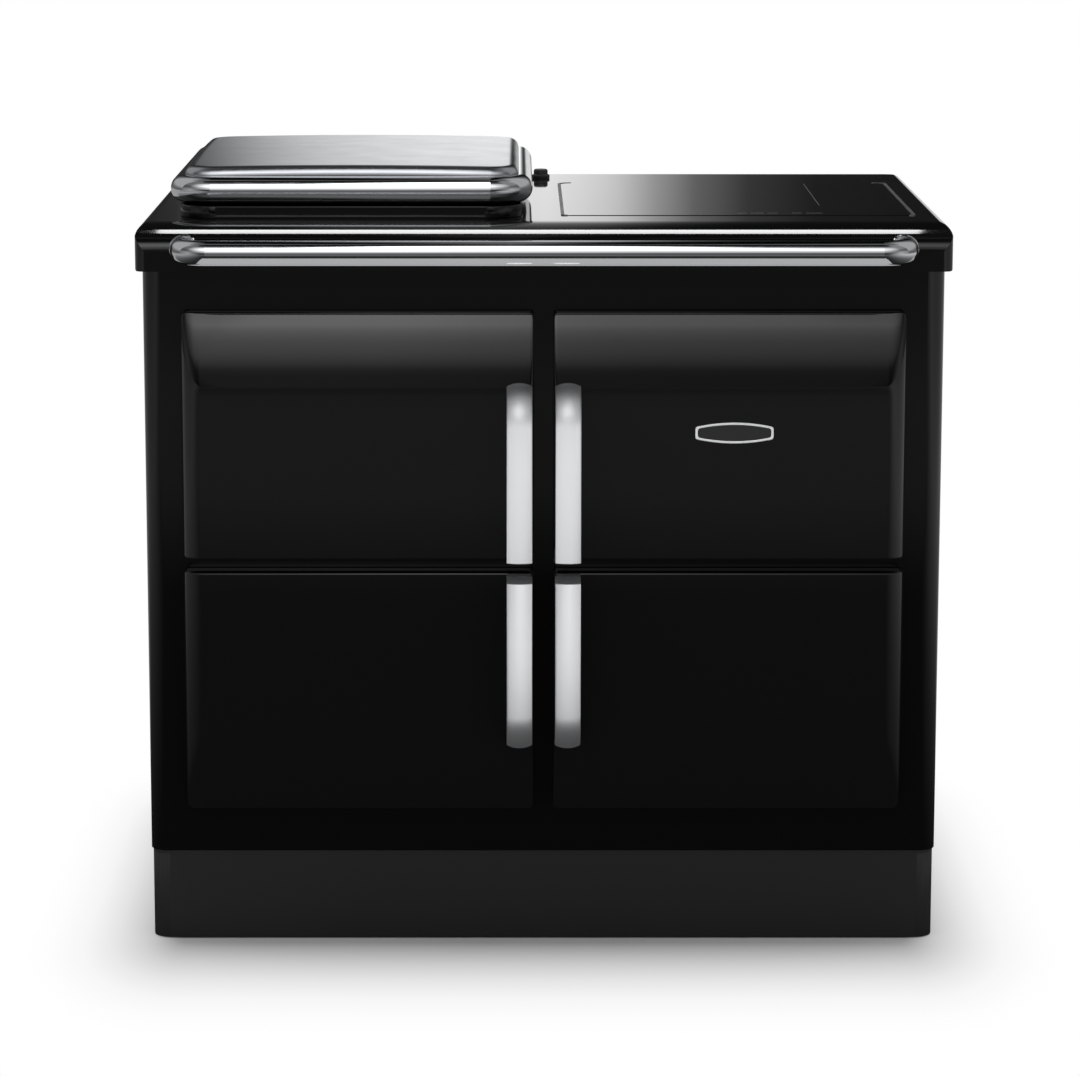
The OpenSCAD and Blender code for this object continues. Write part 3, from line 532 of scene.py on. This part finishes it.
# %% Door face
door_w, door_h, door_t = 430.0, 302.0, 34.0
door_y = FRONT + 2.0
flat_h, crown_r, side_r, inner_r, edge_r = 202.0, 237.0, 25.0, 5.0, 1.6
door_corners = ((5, 6), (5, 10))
edge_lines = (0, 0.08, 0.25, 0.5, 0.8, 1.2, 1.6, 2.4)
roll_from = door_w - side_r
roll_lines = [roll_from + side_r * math.sin(math.radians(t)) for t in range(8, 74, 6)]
door_us = lines((*edge_lines, 3.6, 5), (12, *range(30, 400, 37), roll_from, *roll_lines), edge_lines, door_w)
door_vs = lines((*edge_lines, 4, 6, 10), (*range(28, 202, 29), *range(202, 296, 6)), (*edge_lines, 4), door_h)


def crown(v):
    """How far the face has fallen back at a height on the door."""
    over = max(v - flat_h, 0.0)
    return crown_r - math.sqrt(crown_r ** 2 - over ** 2)


def roll(u):
    """How far it has fallen back at the outer side, and at the small round of the inner side."""
    return edge_drop(door_w - u, side_r) + edge_drop(u, inner_r)


def door_face(u, v, reach):
    """Depth of the door's face, with its edge rounded."""
    return math.hypot(crown(v), roll(u)) + edge_drop(reach, edge_r)


print("door grid", len(door_us), "by", len(door_vs))

# %% [markdown]
# ## Behind the door's face
# The casting is a shell. Its inside is the same form set in by the wall, with
# a rib and two hinge bosses left solid. Each boss is bored for its pin and
# has a slot below it, in which the hinge lug sits and the door can lift. A
# solidify modifier would thicken the face, but it knows nothing of bosses,
# so the inside is a form of its own and is cut out.

# %% Door inside and hinges
door_wall = 6.0
wall_back = door_wall * 1.08    # a wall on a slope needs more, measured straight back
cavity_depth, cavity_back = door_t + 6, door_t + 12
cavity_corners = ((1, 1), (1, 4))
inner_us = [0, 0.4, 1, *range(20, 360, 34), 380, 388, 396, 402, 407, 411, 414, 416, 417.4, 418]
inner_vs = [0, 0.4, 1, *range(24, 190, 27), *range(196, 284, 8), 286, 289.2, 290]
rib_u, rib_v, boss_u = (402, 407), (3, 299), (410, 427)
slot_u, slot_depth = (413, 432), (16, 36)
pin_u, pin_depth, bore_r = 422, 25, 4.05
lug_zs, lug_t, boss_l, lift, clear = (40.0, 236.0), 8.0, 26.0, 18.0, 0.5
past_back = 60      # tools reach well past the door's back


def door_cavity(u, v, reach):
    """Depth of the cavity's front, behind the wall."""
    return min(math.hypot(crown(v + door_wall), roll(u + door_wall)) + wall_back, cavity_depth)


def door_matrix(side, low, up):
    """From a door's own frame to the scene: mirrored for the left, and turned over for the lower doors."""
    half_gap = 12.0
    return Matrix(((side, 0, 0, side * half_gap), (0, 1, 0, door_y),
                   (0, 0, up, low if up > 0 else low + door_h), (0, 0, 0, 1)))


print("door inside grid", len(inner_us), "by", len(inner_vs))

# %% [markdown]
# ## Four doors from one
# The left doors are mirror images of the right ones, and the lower doors are
# the upper ones turned over. A mirror modifier would join them into one
# piece, and each has to swing on its own hinge, so the form is made four
# times. The bosses and slots stay the right way up in each, because a door
# lifts off its pins upwards.

# %% Four doors
# Each door: its side, the height of its foot, and its way up.
doors = {"upper_left": (-1, 491.0, 1), "upper_right": (1, 491.0, 1),
         "lower_left": (-1, 172.0, -1), "lower_right": (1, 172.0, -1)}
for name, (side, low, up) in doors.items():
    place = door_matrix(side, low, up)
    boss_zs = [z + lug_t + clear if up > 0 else door_h - z - lug_t - clear - boss_l for z in lug_zs]
    slot_zs = [z - lift if up > 0 else door_h - z - lug_t - clear for z in lug_zs]
    casting = place_form(name + "_crowned_casting",
                         grid_form(door_us, door_vs, door_corners, door_face, door_t), place)
    cavity = place_form("cavity", grid_form(inner_us, inner_vs, cavity_corners, door_cavity, cavity_back),
                        place @ Matrix.Translation((door_wall, 0, door_wall)))
    rib = ((rib_u[0], 0, rib_v[0]), (rib_u[1], past_back, rib_v[1]))
    bosses = [((boss_u[0], 0, z), (boss_u[1], past_back, z + boss_l)) for z in boss_zs]
    carve(cavity, [place_form("kept", box_forms([rib] + bosses), place)])
    slots = place_form("slots", box_forms([((slot_u[0], slot_depth[0], z),
                                            (slot_u[1], slot_depth[1], z + lift + lug_t + clear))
                                           for z in slot_zs]), place)
    bores = place_form("bores", rod_forms([((pin_u, pin_depth, z - 1), bore_r, boss_l + 2)
                                           for z in boss_zs]), place)
    carve(casting, [cavity, slots, bores])
    give(casting, lit_door_enamel, name + "_door", "vitreous_enamel", name + "_casting")
    print(casting.name, "has", len(casting.data.polygons), "faces")

# %% [markdown]
# ## The lid's domed panel
# The lid is pressed from one sheet of stainless steel: nearly flat, with a
# crown of six millimetres so that it doesn't drum, and a shoulder where it
# turns down into the chrome roll. A subdivided plate would do for the dome,
# but its shoulder would be guesswork. The grid takes both radii as they
# are, and the same form, a sheet's thickness smaller, hollows it out.

# %% Lid panel
lid_w, lid_d, lid_top, lid_low = 412.6, 440.6, 966.0, 938.0
lid_mid_x, lid_mid_y = -236.5, FRONT + 322.5
shoulder, dome_r, sheet, past_rim = 12.0, 8000.0, 2.0, 5
outer_corner, hollow_corner = 34.8, 32.8
lid_lines = (0, 0.3, 0.9, 1.8, 3, 4.5, 6.2, 8, 10, 12, 15, 20, 27, 35)
lid_us = lines(lid_lines, range(50, 370, 20), lid_lines, lid_w)
lid_vs = lines(lid_lines, range(50, 400, 20), lid_lines, lid_d)


def lid_dome(u, v, reach):
    """How far the lid has fallen away from its highest point."""
    return ((u - lid_w / 2) ** 2 + (v - lid_d / 2) ** 2) / (2 * dome_r) + edge_drop(reach, shoulder)


def lid_inside(u, v, reach):
    """The same, one sheet further in."""
    return lid_dome(u + sheet, v + sheet, reach) + sheet


lid_place = Matrix(((1, 0, 0, lid_mid_x - lid_w / 2), (0, 0, 1, lid_mid_y - lid_d / 2),
                    (0, -1, 0, lid_top), (0, 0, 0, 1)))
panel = place_form("lid_domed_panel", grid_form(lid_us, lid_vs, ((outer_corner,) * 2,) * 2, lid_dome,
                                                lid_top - lid_low), lid_place)
hollow = place_form("hollow", grid_form([c * (lid_w - 2 * sheet) / lid_w for c in lid_us],
                                        [c * (lid_d - 2 * sheet) / lid_d for c in lid_vs],
                                        ((hollow_corner,) * 2,) * 2, lid_inside,
                                        lid_top - lid_low + past_rim),
                    lid_place @ Matrix.Translation((sheet, 0, sheet)))
carve(panel, [hollow])
give(panel, finishes["polished_steel"], "lid", "polished_steel", "lid_panel")
print("lid panel:", len(panel.data.polygons), "faces")

# %% [markdown]
# ## The badge plate
# A small plate sits on the upper right door: a barrel outline with a raised
# chrome rim round a plain dark field. A curve with a bevel could give the
# rim, but not its flat top with two soft edges, so a section is drawn once
# and carried round the outline.

# %% Badge plate
badge_w, badge_end, badge_rise, badge_corner = 95.0, 7.5, 5.4, 3.5
badge_x, badge_z = 231.5, 647.8
badge_place = Matrix(((1, 0, 0, badge_x), (0, -1, 0, door_y), (0, 0, 1, badge_z), (0, 0, 0, 1)))


def barrel_outline(inset):
    """Points (x, z) round a barrel with bowed long sides and small round corners."""
    half, r = badge_w / 2 - inset, badge_corner
    top = [(x, badge_end + badge_rise * (1 - (2 * x / badge_w) ** 2) - inset)
           for x in [(half - r) * (1 - k / 12) for k in range(25)]]
    corner = [(half - r + r * math.cos(t), top[0][1] - r + r * math.sin(t))
              for t in [math.radians(a) for a in (0, 22, 45, 68)]]
    upper = corner + top + [(-x, z) for x, z in corner[::-1]]
    return upper + [(x, -z) for x, z in upper[::-1]]


# Each section is a list of (inset from the outline, height over the door), in mm.
rim_section = [(0, -0.3), (0, 0.8), (0.1, 1.05), (0.4, 1.2), (2.6, 1.2), (2.9, 1.05), (3.0, 0.8),
               (3.0, -0.3)]
field_section = [(3.05, -0.3), (3.05, 0.25), (3.2, 0.4)]
rim = place_form("badge_rim", ring_form([(barrel_outline(inset), up) for inset, up in rim_section]),
                 badge_place)
give(rim, satin_chrome, "upper_right_door", "chrome_plate")
field_paint = grained("stove_enamel_satin_black", "#2b2b2c", grain_mm=0.9, depth_mm=0.02, IOR=1.5,
                      Roughness=0.4)
field = place_form("badge_field", ring_form([(barrel_outline(inset), up) for inset, up in field_section],
                                            joined=False), badge_place)
give(field, field_paint, "upper_right_door", "vitreous_enamel")
print("badge plate of", len(rim.data.polygons) + len(field.data.polygons), "faces")

# %% [markdown]
# ## Print on the hob
# A zone line and the touch keys are screen printed on the glass in a ceramic
# ink. A mask in the glass's material could draw them, but the ink is a layer
# of its own with a dull skin, so thin boxes of ink lie on the glass. They are
# thicker than real ink, so that they stand clear of it.

# %% Hob print
glass_top, ink_top = 900.5, 900.7
line_x, line_w, line_y = 349.0, 0.8, (232, 500)
key_y = (140, 143)
key_xs = [(185, 197), (240, 252), (257, 273), (278, 290), (308, 320), (326, 346)]
marks = [((line_x - line_w / 2, line_y[0], glass_top), (line_x + line_w / 2, line_y[1], ink_top))]
marks += [((a, key_y[0], glass_top), (b, key_y[1], ink_top)) for a, b in key_xs]
hob_print = place_form("hob_print", box_forms(marks), Matrix.Translation((0, FRONT, 0)))
# The weave that a screen leaves in ink is about 0.1 mm wide. Here and on the scales it is drawn coarser.
ink_grain_mm = 0.3
print_ink = grained("ceramic_ink_screen_printed_grey", "#4c4d4f", ink_grain_mm, depth_mm=0.02, IOR=1.5,
                    Roughness=0.5)
give(hob_print, print_ink, "cooker", "hob_glass")
print("printed", len(marks), "marks on the glass")

# %% [markdown]
# ## Scales of the controls
# Behind the fourth door are the controls. Each knob has a scale of eleven
# strokes over its 270 degrees, pad printed on the panel. One stroke is made,
# and turned about the knob's axis into each of the other places, which
# keeps the scale exact and needs no picture of it.

# %% Control scales
panel_face, knob_z, knob_xs = FRONT + 149.0, 651.0, (137.0, 227.0, 317.0)
scale_strokes, first_angle, step_angle = 11, 225, 27
scale_r, long_stroke, short_stroke, stroke_w, ink_t = 26, 6, 4, 0.8, 0.3
strokes = bmesh.new()
for x in knob_xs:
    for k in range(scale_strokes):
        turn_by = math.radians(first_angle - step_angle * k)
        length = long_stroke if k % 5 == 0 else short_stroke
        stroke = bmesh.ops.create_cube(strokes, size=1.0)["verts"]
        spot = Matrix.Translation((x, panel_face, knob_z)) @ Matrix.Rotation(-turn_by, 4, "Y")
        bmesh.ops.transform(strokes, matrix=spot @ Matrix.Translation((scale_r + length / 2, 0, 0))
                            @ Matrix.Diagonal((length, ink_t, stroke_w, 1)), verts=stroke)
scale_ink = grained("epoxy_ink_pad_printed_black", "#19191a", ink_grain_mm, depth_mm=0.02, Roughness=0.5)
give(place_form("control_scales", strokes, Matrix()), scale_ink, "cooker", "black_plastic")
print("three scales of", scale_strokes, "strokes")

# %% [markdown]
# ## Lamps and window of the controls
# A small lamp stands over each knob under a moulded lens, and a window of
# dark glass fills the opening below. Half a sphere would do for a lens from
# afar, but a real one has a flat dome and a skirt behind the panel, so both
# are drawn from an outline and a section, as the badge's rim was.

# %% Lamp lenses
lens_up, lens_r = 42, 3.8
lens_section = [(lens_r, 1.9), (lens_r, 0), (3.7, -0.5), (3.2, -1.1), (2.2, -1.6), (1.0, -1.85)]
lens_colours = {"red": "#c8472e", "amber": "#d39a2b", "green": "#3f9a55"}


def disc_outline(r, x, z, sides=40):
    """Points (x, z) round a circle."""
    turns = [2 * math.pi * k / sides for k in range(sides)]
    return [(x + r * math.cos(t), z + r * math.sin(t)) for t in turns]


for x, (hue, colour) in zip(knob_xs, lens_colours.items()):
    lens = place_form("lamp_lens_" + str(int(x)), ring_form(
        [(disc_outline(r, x, knob_z + lens_up), panel_face + depth) for r, depth in lens_section],
        joined=False), Matrix())
    lens_finish = grained("polycarbonate_moulded_" + hue, colour, grain_mm=0.8, depth_mm=0.03, IOR=1.58,
                          Roughness=0.15, Transmission_Weight=0.4)
    give(lens, lens_finish, "cooker", "black_plastic")
print("lenses", ", ".join(lens_colours))

# %% Display window
window_x, window_z, window_half_w, window_half_h, window_corner = 227, 579, 79.7, 27.7, 5.7
window_section = [(0, 1.9), (0, 0.3), (0.3, 0)]     # inset from the outline, depth behind the panel's face


def window_outline(inset, r=window_corner):
    """Points (x, z) round a rectangle with round corners."""
    wide, tall = window_half_w - inset, window_half_h - inset
    return [(window_x + sx * (wide - r) + r * math.cos(t), window_z + sz * (tall - r) + r * math.sin(t))
            for sx, sz, start in ((1, 1, 0), (-1, 1, 90), (-1, -1, 180), (1, -1, 270))
            for t in [math.radians(start + 15 * k) for k in range(7)]]


window = place_form("display_window", ring_form(
    [(window_outline(inset), panel_face + depth) for inset, depth in window_section], joined=False), Matrix())
give(window, finishes["hob_glass"], "cooker", "hob_glass")
print("window of", 2 * window_half_w, "by", 2 * window_half_h, "mm")

# %% [markdown]
# ## The studio
# A product like this is photographed against white, between large soft
# lamps. Black gloss and chrome show nothing of themselves, only the room, so
# the room's mirror image is drawn with care. A photographed room could be
# wrapped round the scene, but a drawn one needs no image file, and each part
# of it can be read and moved. Every part is a grey level that follows a
# line or an angle through a few stops.

# %% Levels along a line
def levels_along(tree, value, stops):
    """A grey level that follows a value through (value, level) stops, in the order of the values."""
    low, high, peak = stops[0][0], stops[-1][0], max(level for at, level in stops)
    place = add_node(tree, "ShaderNodeMapRange", {"Value": value, "From Min": low, "From Max": high})
    grey = add_node(tree, "ShaderNodeValToRGB", {0: place})
    for at, level in stops[1:-1]:
        grey.color_ramp.elements.new((at - low) / (high - low))
    for stop, (at, level) in zip(grey.color_ramp.elements, stops):
        stop.color = (level / peak,) * 3 + (1,)
    return add_node(tree, "ShaderNodeMath", {0: grey, 1: peak}, operation="MULTIPLY")


def patch(tree, across, across_stops, up, up_stops):
    """A patch of light that fades both ways: levels across, times levels up."""
    return add_node(tree, "ShaderNodeMath", {0: levels_along(tree, across, across_stops),
                                             1: levels_along(tree, up, up_stops)}, operation="MULTIPLY")


def in_mirror(tree):
    """1 for a ray that a mirror or a glass sends out, and 0 for others."""
    ray = add_node(tree, "ShaderNodeLightPath").outputs
    return add_node(tree, "ShaderNodeMath", {0: ray["Is Glossy Ray"], 1: ray["Is Transmission Ray"]},
                    operation="MAXIMUM")


print("levels ready")

# %% [markdown]
# ## The floor
# Under the cooker the floor has to keep the shadow, and further out it has
# to be lost in the white of the picture. A bent backdrop would need lamps of
# its own to turn white. Here one flat sheet does both: it is a matt grey close
# to the cooker and fades to plain white over about 40 cm. That grey is darker
# than the white further out, so on top of the lamps' real shadow it is painted
# shadow round the cooker. The fade follows the distance to the footprint, and
# runs out sooner at the sides, where the photograph has less shadow.

# %% Floor as the camera sees it
floor_finish = bpy.data.materials.new("floor_with_painted_shadow")
floor_finish.use_nodes = True
tree = floor_finish.node_tree
tree.nodes.clear()
place = add_node(tree, "ShaderNodeTexCoord").outputs["Object"]
footprint_middle, footprint_half, sideways = (0, 0.036, 0), (0.443, 0.279, 0), (1.9, 1, 0)
outside = place
for operation, amount in (("SUBTRACT", footprint_middle), ("ABSOLUTE", (0, 0, 0)),
                          ("SUBTRACT", footprint_half), ("MAXIMUM", (0, 0, 0)), ("MULTIPLY", sideways)):
    outside = add_node(tree, "ShaderNodeVectorMath", {0: outside, 1: amount}, operation=operation)
away_from_it = add_node(tree, "ShaderNodeVectorMath", {0: outside}, operation="LENGTH").outputs["Value"]
painted_shadow_fade_stops = [(0.02, 0), (0.056, 0.16), (0.107, 0.4), (0.176, 0.67), (0.245, 0.87), (0.32, 0.965), (0.39, 1)]
painted_shadow_fade = levels_along(tree, away_from_it, painted_shadow_fade_stops)
# a grey darker than the white further out: painted shadow round the cooker, added to the lamps' real shadow
matt = add_node(tree, "ShaderNodeBsdfDiffuse", {"Color": linear("#c0c0c0")})
plain_white = linear("#ffffff")
white = add_node(tree, "ShaderNodeEmission", {"Color": plain_white, "Strength": 1.0})
pale = add_node(tree, "ShaderNodeMixShader", {0: painted_shadow_fade, 1: matt, 2: white})
print("the floor is white from", painted_shadow_fade_stops[-1][0], "m away")

# %% [markdown]
# ## The floor in the mirrors
# White all round would leave the chrome and the doors without any drawing.
# So mirror rays meet a floor with light and dark bands instead, as the
# photograph's chrome shows them: dark close to the cooker, and lighter at
# the sides and behind it. A lit floor of real lamps would do this too, but
# its bands couldn't be set one by one.

# %% Floor sheet
axes = add_node(tree, "ShaderNodeSeparateXYZ", {0: place})
in_front = levels_along(tree, axes.outputs["Y"], [
    (-11, 0.14), (-8, 0.09), (-6, 0.12), (-4.6, 0.17), (-3.4, 0.16), (-2.4, 0.03), (0, 0.02), (0.45, 0.02),
    (0.9, 0.4), (6, 0.4)])
aside = levels_along(tree, axes.outputs["X"], [
    (-6, 0.3), (-3.4, 0.4), (-1.6, 0.12), (-0.7, 0), (0.7, 0), (1.6, 0.15), (3.4, 0.6), (6, 0.45)])
lighter = add_node(tree, "ShaderNodeMath", {0: in_front, 1: aside}, operation="MAXIMUM")
mirrored = add_node(tree, "ShaderNodeEmission", {"Color": plain_white, "Strength": lighter})
mixed = add_node(tree, "ShaderNodeMixShader", {0: in_mirror(tree), 1: pale, 2: mirrored})
add_node(tree, "ShaderNodeOutputMaterial", {"Surface": mixed})

half_floor = 12.0
floor_mesh = bpy.data.meshes.new("floor")
floor_mesh.from_pydata([(x * half_floor, y * half_floor, 0) for x, y in ((-1, -1), (1, -1), (1, 1), (-1, 1))],
                       [], [(0, 1, 2, 3)])
floor = bpy.data.objects.new("floor", floor_mesh)
floor.data.materials.append(floor_finish)
bpy.context.scene.collection.objects.link(floor)
print("floor", 2 * half_floor, "m wide")

# %% [markdown]
# ## The room
# The world knows a ray only by its direction, a point on a sphere of radius
# one. For the room in front, the turn to the side is an angle. For the wall
# behind, the step aside for each metre away is handier, because it is even
# along a flat wall. Heights are given in degrees over the horizon, whose
# sines are the directions' Z.

# %% Directions
world = bpy.data.worlds.new("studio")
bpy.context.scene.world = world
world.use_nodes = True
tree = world.node_tree
tree.nodes.clear()
direction = add_node(tree, "ShaderNodeTexCoord").outputs["Generated"]
aim = add_node(tree, "ShaderNodeSeparateXYZ", {0: direction}).outputs
rise = aim["Z"]
to_front = add_node(tree, "ShaderNodeMath", {0: aim["Y"], 1: -1.0}, operation="MULTIPLY")
turn = add_node(tree, "ShaderNodeMath", {0: aim["X"], 1: to_front}, operation="ARCTAN2")
aside_per_metre = add_node(tree, "ShaderNodeMath", {0: aim["X"], 1: aim["Y"]}, operation="DIVIDE")


def at_degrees(measure, stops):
    """Stops given in degrees, turned into their sine, tangent or, for float, the angle itself."""
    return [(measure(math.radians(degrees)), level) for degrees, level in stops]


print("directions ready")

# %% [markdown]
# ## The room in front
# This half shows in the doors and the rail: a softbox high up that fades
# towards the floor, a wide pale wall round it, windows at both sides, and
# low light far to the sides. Light of one height but different width shares
# one curve of heights, and where two lights overlap the brighter one counts.

# %% Room in front
height = levels_along(tree, rise, at_degrees(math.sin, [
    (-5, 0.17), (3, 0.18), (5, 0.22), (7, 0.28), (8.5, 0.4), (10, 0.55), (14, 0.85), (17, 1.05), (24, 1.4),
    (28, 1.8), (31, 2.2), (34, 2.9), (43, 3.1), (71, 3.1), (76, 0.2), (90, 0.2)]))
softbox_width = levels_along(tree, turn, at_degrees(float, [
    (-12, 0), (-6.8, 0.03), (-5, 1), (-2, 1), (1.8, 0.68), (5.8, 0.6), (7.6, 0.03), (12, 0)]))
windows = levels_along(tree, turn, at_degrees(float, [
    (-120, 0), (-95, 0.06), (-60, 0.06), (-42, 0.02), (42, 0.02), (60, 0.09), (95, 0.09), (120, 0)]))
pale_wall = patch(tree, turn, at_degrees(float, [
    (-75, 0), (-50, 0.22), (-20, 0.55), (-8, 0.85), (-2, 0.9), (1.6, 0.65), (8, 0.55), (20, 0.4), (50, 0.2),
    (75, 0)]), rise, at_degrees(math.sin, [(-2, 0), (6, 0.4), (14, 1), (33, 1), (50, 0.7), (65, 0)]))
low_sides = patch(tree, turn, at_degrees(float, [
    (-110, 0.1), (-60, 0.4), (-14, 0), (14, 0), (60, 0.5), (110, 0.1)]), rise, at_degrees(math.sin, [
        (-6, 1), (6, 1), (20, 0.4), (36, 0)]))
widths = softbox_width
for other in (windows, pale_wall):
    widths = add_node(tree, "ShaderNodeMath", {0: widths, 1: other}, operation="MAXIMUM")
lit_wall = add_node(tree, "ShaderNodeMath", {0: height, 1: widths}, operation="MULTIPLY")
room_in_front = add_node(tree, "ShaderNodeMath", {0: low_sides, 1: lit_wall}, operation="MAXIMUM")
print("front of the room in", len(tree.nodes), "nodes")

# %% [markdown]
# ## The room behind
# This half shows in the hob, the top plate and the lid, which mirror the wall
# behind the cooker: a bright upright glow a little left of the middle, and
# soft light at both sides. A low patch at the right lights the roll of the
# plate's right edge.

# %% Room behind
glow = patch(tree, aside_per_metre, at_degrees(math.tan, [
    (-10, 0.03), (-5.5, 0.03), (-5, 0.05), (-4.6, 0.25), (-3.9, 0.6), (-3.5, 0.75), (-2.7, 0.95), (-0.4, 1.24),
    (0.5, 1.3), (1, 1.16), (1.35, 1.03), (1.55, 0.93), (2.1, 0.5), (2.7, 0.2), (3.5, 0.06), (4.5, 0.02),
    (10, 0)]), rise, at_degrees(math.sin, [(0, 1), (17, 1), (28, 0.45), (50, 0.15), (90, 0.1)]))
back_sides = patch(tree, aside_per_metre, [
    (-3, 0.45), (-0.7, 0.45), (-0.4, 0.12), (-0.2, 0), (0.2, 0), (0.4, 0.12), (0.7, 0.45), (3, 0.45)],
    rise, at_degrees(math.sin, [(0, 0.3), (6, 0.4), (16, 1), (55, 1), (70, 0.3), (90, 0.3)]))
low_right = patch(tree, aside_per_metre, [(0, 0), (0.06, 0), (0.08, 1), (0.25, 1), (0.5, 0), (1, 0)],
                  rise, [(-0.2, 0.75), (0.03, 0.75), (0.06, 0), (0.2, 0)])
room_behind = glow
for other in (back_sides, low_right):
    room_behind = add_node(tree, "ShaderNodeMath", {0: room_behind, 1: other}, operation="MAXIMUM")
print("whole room in", len(tree.nodes), "nodes")

# %% [markdown]
# ## What each ray meets
# Mirror rays meet the drawn room, and the camera sees plain white. Rays from
# matt surfaces meet one soft level, because the small bright parts of the
# room would only make them grainy. The two halves of the room meet in a
# narrow blend straight to the sides.

# %% World
soft_level, blend_half = 0.6, 0.02
is_behind = add_node(tree, "ShaderNodeMapRange", {"Value": aim["Y"], "From Min": -blend_half,
                                                  "From Max": blend_half})
room = add_node(tree, "ShaderNodeMix", {0: is_behind, 2: room_in_front, 3: room_behind}, data_type="FLOAT")
mirror_light = add_node(tree, "ShaderNodeBackground", {"Strength": room, "Color": plain_white})
soft_light = add_node(tree, "ShaderNodeBackground", {"Strength": soft_level, "Color": plain_white})
white = add_node(tree, "ShaderNodeBackground", {"Strength": 1.0, "Color": plain_white})
lit = add_node(tree, "ShaderNodeMixShader", {0: in_mirror(tree), 1: soft_light, 2: mirror_light})
by_camera = add_node(tree, "ShaderNodeLightPath").outputs["Is Camera Ray"]
seen = add_node(tree, "ShaderNodeMixShader", {0: by_camera, 1: lit, 2: white})
add_node(tree, "ShaderNodeOutputWorld", {"Surface": seen})
print("world ready, with", len(tree.nodes), "nodes")

# %% [markdown]
# ## Lamps and cards
# A large softbox overhead throws the shadow. The others are what a
# photographer sets up for one piece, to draw a line on it: a strip high
# behind for the enamel and the glass, two cards before the handles, and two
# under the handrail. Turning up one big lamp would brighten everything at
# once, so Blender's light linking keeps each of these to its own pieces.

# %% Lamp helpers
def softbox(name, place, target, size, power):
    """An area lamp at a place, facing a target. Its size is in metres and its power in watts."""
    lamp = bpy.data.lights.new(name, "AREA")
    lamp.shape, lamp.size, lamp.size_y, lamp.energy = "RECTANGLE", size[0], size[1], power
    holder = bpy.data.objects.new(name, lamp)
    holder.location = place
    holder.rotation_euler = (Vector(target) - Vector(place)).to_track_quat("-Z", "Y").to_euler()
    holder.visible_camera = False
    bpy.context.scene.collection.objects.link(holder)
    return holder


def light_only(lamp, pieces):
    """Keeps a lamp's light to some pieces."""
    group = bpy.data.collections.new(lamp.name + "_pieces")
    for piece in pieces:
        group.objects.link(piece)
    lamp.light_linking.receiver_collection = group


print("lamp helpers ready")

# %% Lamps
enamel_and_glass = [nodes[part["node"]] for part in subparts
                    if part["material_slot"] in ("vitreous_enamel", "hob_glass")]
handles = [nodes[name + "_handle"] for name in doors]
overhead = softbox("overhead_softbox", (0.0, 0.1, 3.4), (0, 0, 0.4), (3.4, 2.6), 80)
overhead.visible_glossy = False             # the drawn room has a softbox already
for pieces, *lamp in (
        (enamel_and_glass, "back_strip", (0.015, 1.7, 3.6), (0, -0.26, 0.9), (1.59, 0.55), 27),
        (handles + [rim], "handle_card", (0.0, -1.3, 0.36), (0, 0, 0.36), (4.0, 0.72), 9.2),
        (handles[:2], "handle_floor_card", (0.0, -0.95, 0.02), (0, -0.93, 1), (4.0, 0.7), 7.5),
        ([nodes["handrail"]], "rail_card", (0.0, -0.3905, 0.74), (0, -0.38, 0.95), (0.9, 0.197), 0.29),
        ([nodes["handrail"]], "rail_fill", (0.0, -0.292, 0.8), (0, -1, 0.8), (0.86, 0.12), 0.16)):
    light_only(softbox(*lamp), pieces)

# %% [markdown]
# ## The camera
# The photograph was taken from about four and a half metres away with a long
# lens, a little left of centre and half a metre above the plate, so its
# upright edges stay nearly parallel. A wide lens from close by would fill
# the frame as well, but the doors would spread towards their corners.

# %% Camera
distance, above_floor, left_of_middle, look_down = 4.59, 1.414, 0.036, 9.67
camera_data = bpy.data.cameras.new("camera")
camera = bpy.data.objects.new("camera", camera_data)
bpy.context.scene.collection.objects.link(camera)
camera.location = (-left_of_middle, FRONT * MM - distance, above_floor)
camera.rotation_euler = (math.radians(90 - look_down), 0, 0)
camera_data.sensor_width = 36
camera_data.lens = 127.87
camera_data.shift_x, camera_data.shift_y = 0.024, -0.085
bpy.context.scene.camera = camera
bpy.context.scene.view_settings.view_transform = "Standard"
print("camera with a", round(camera_data.lens, 2), "mm lens")
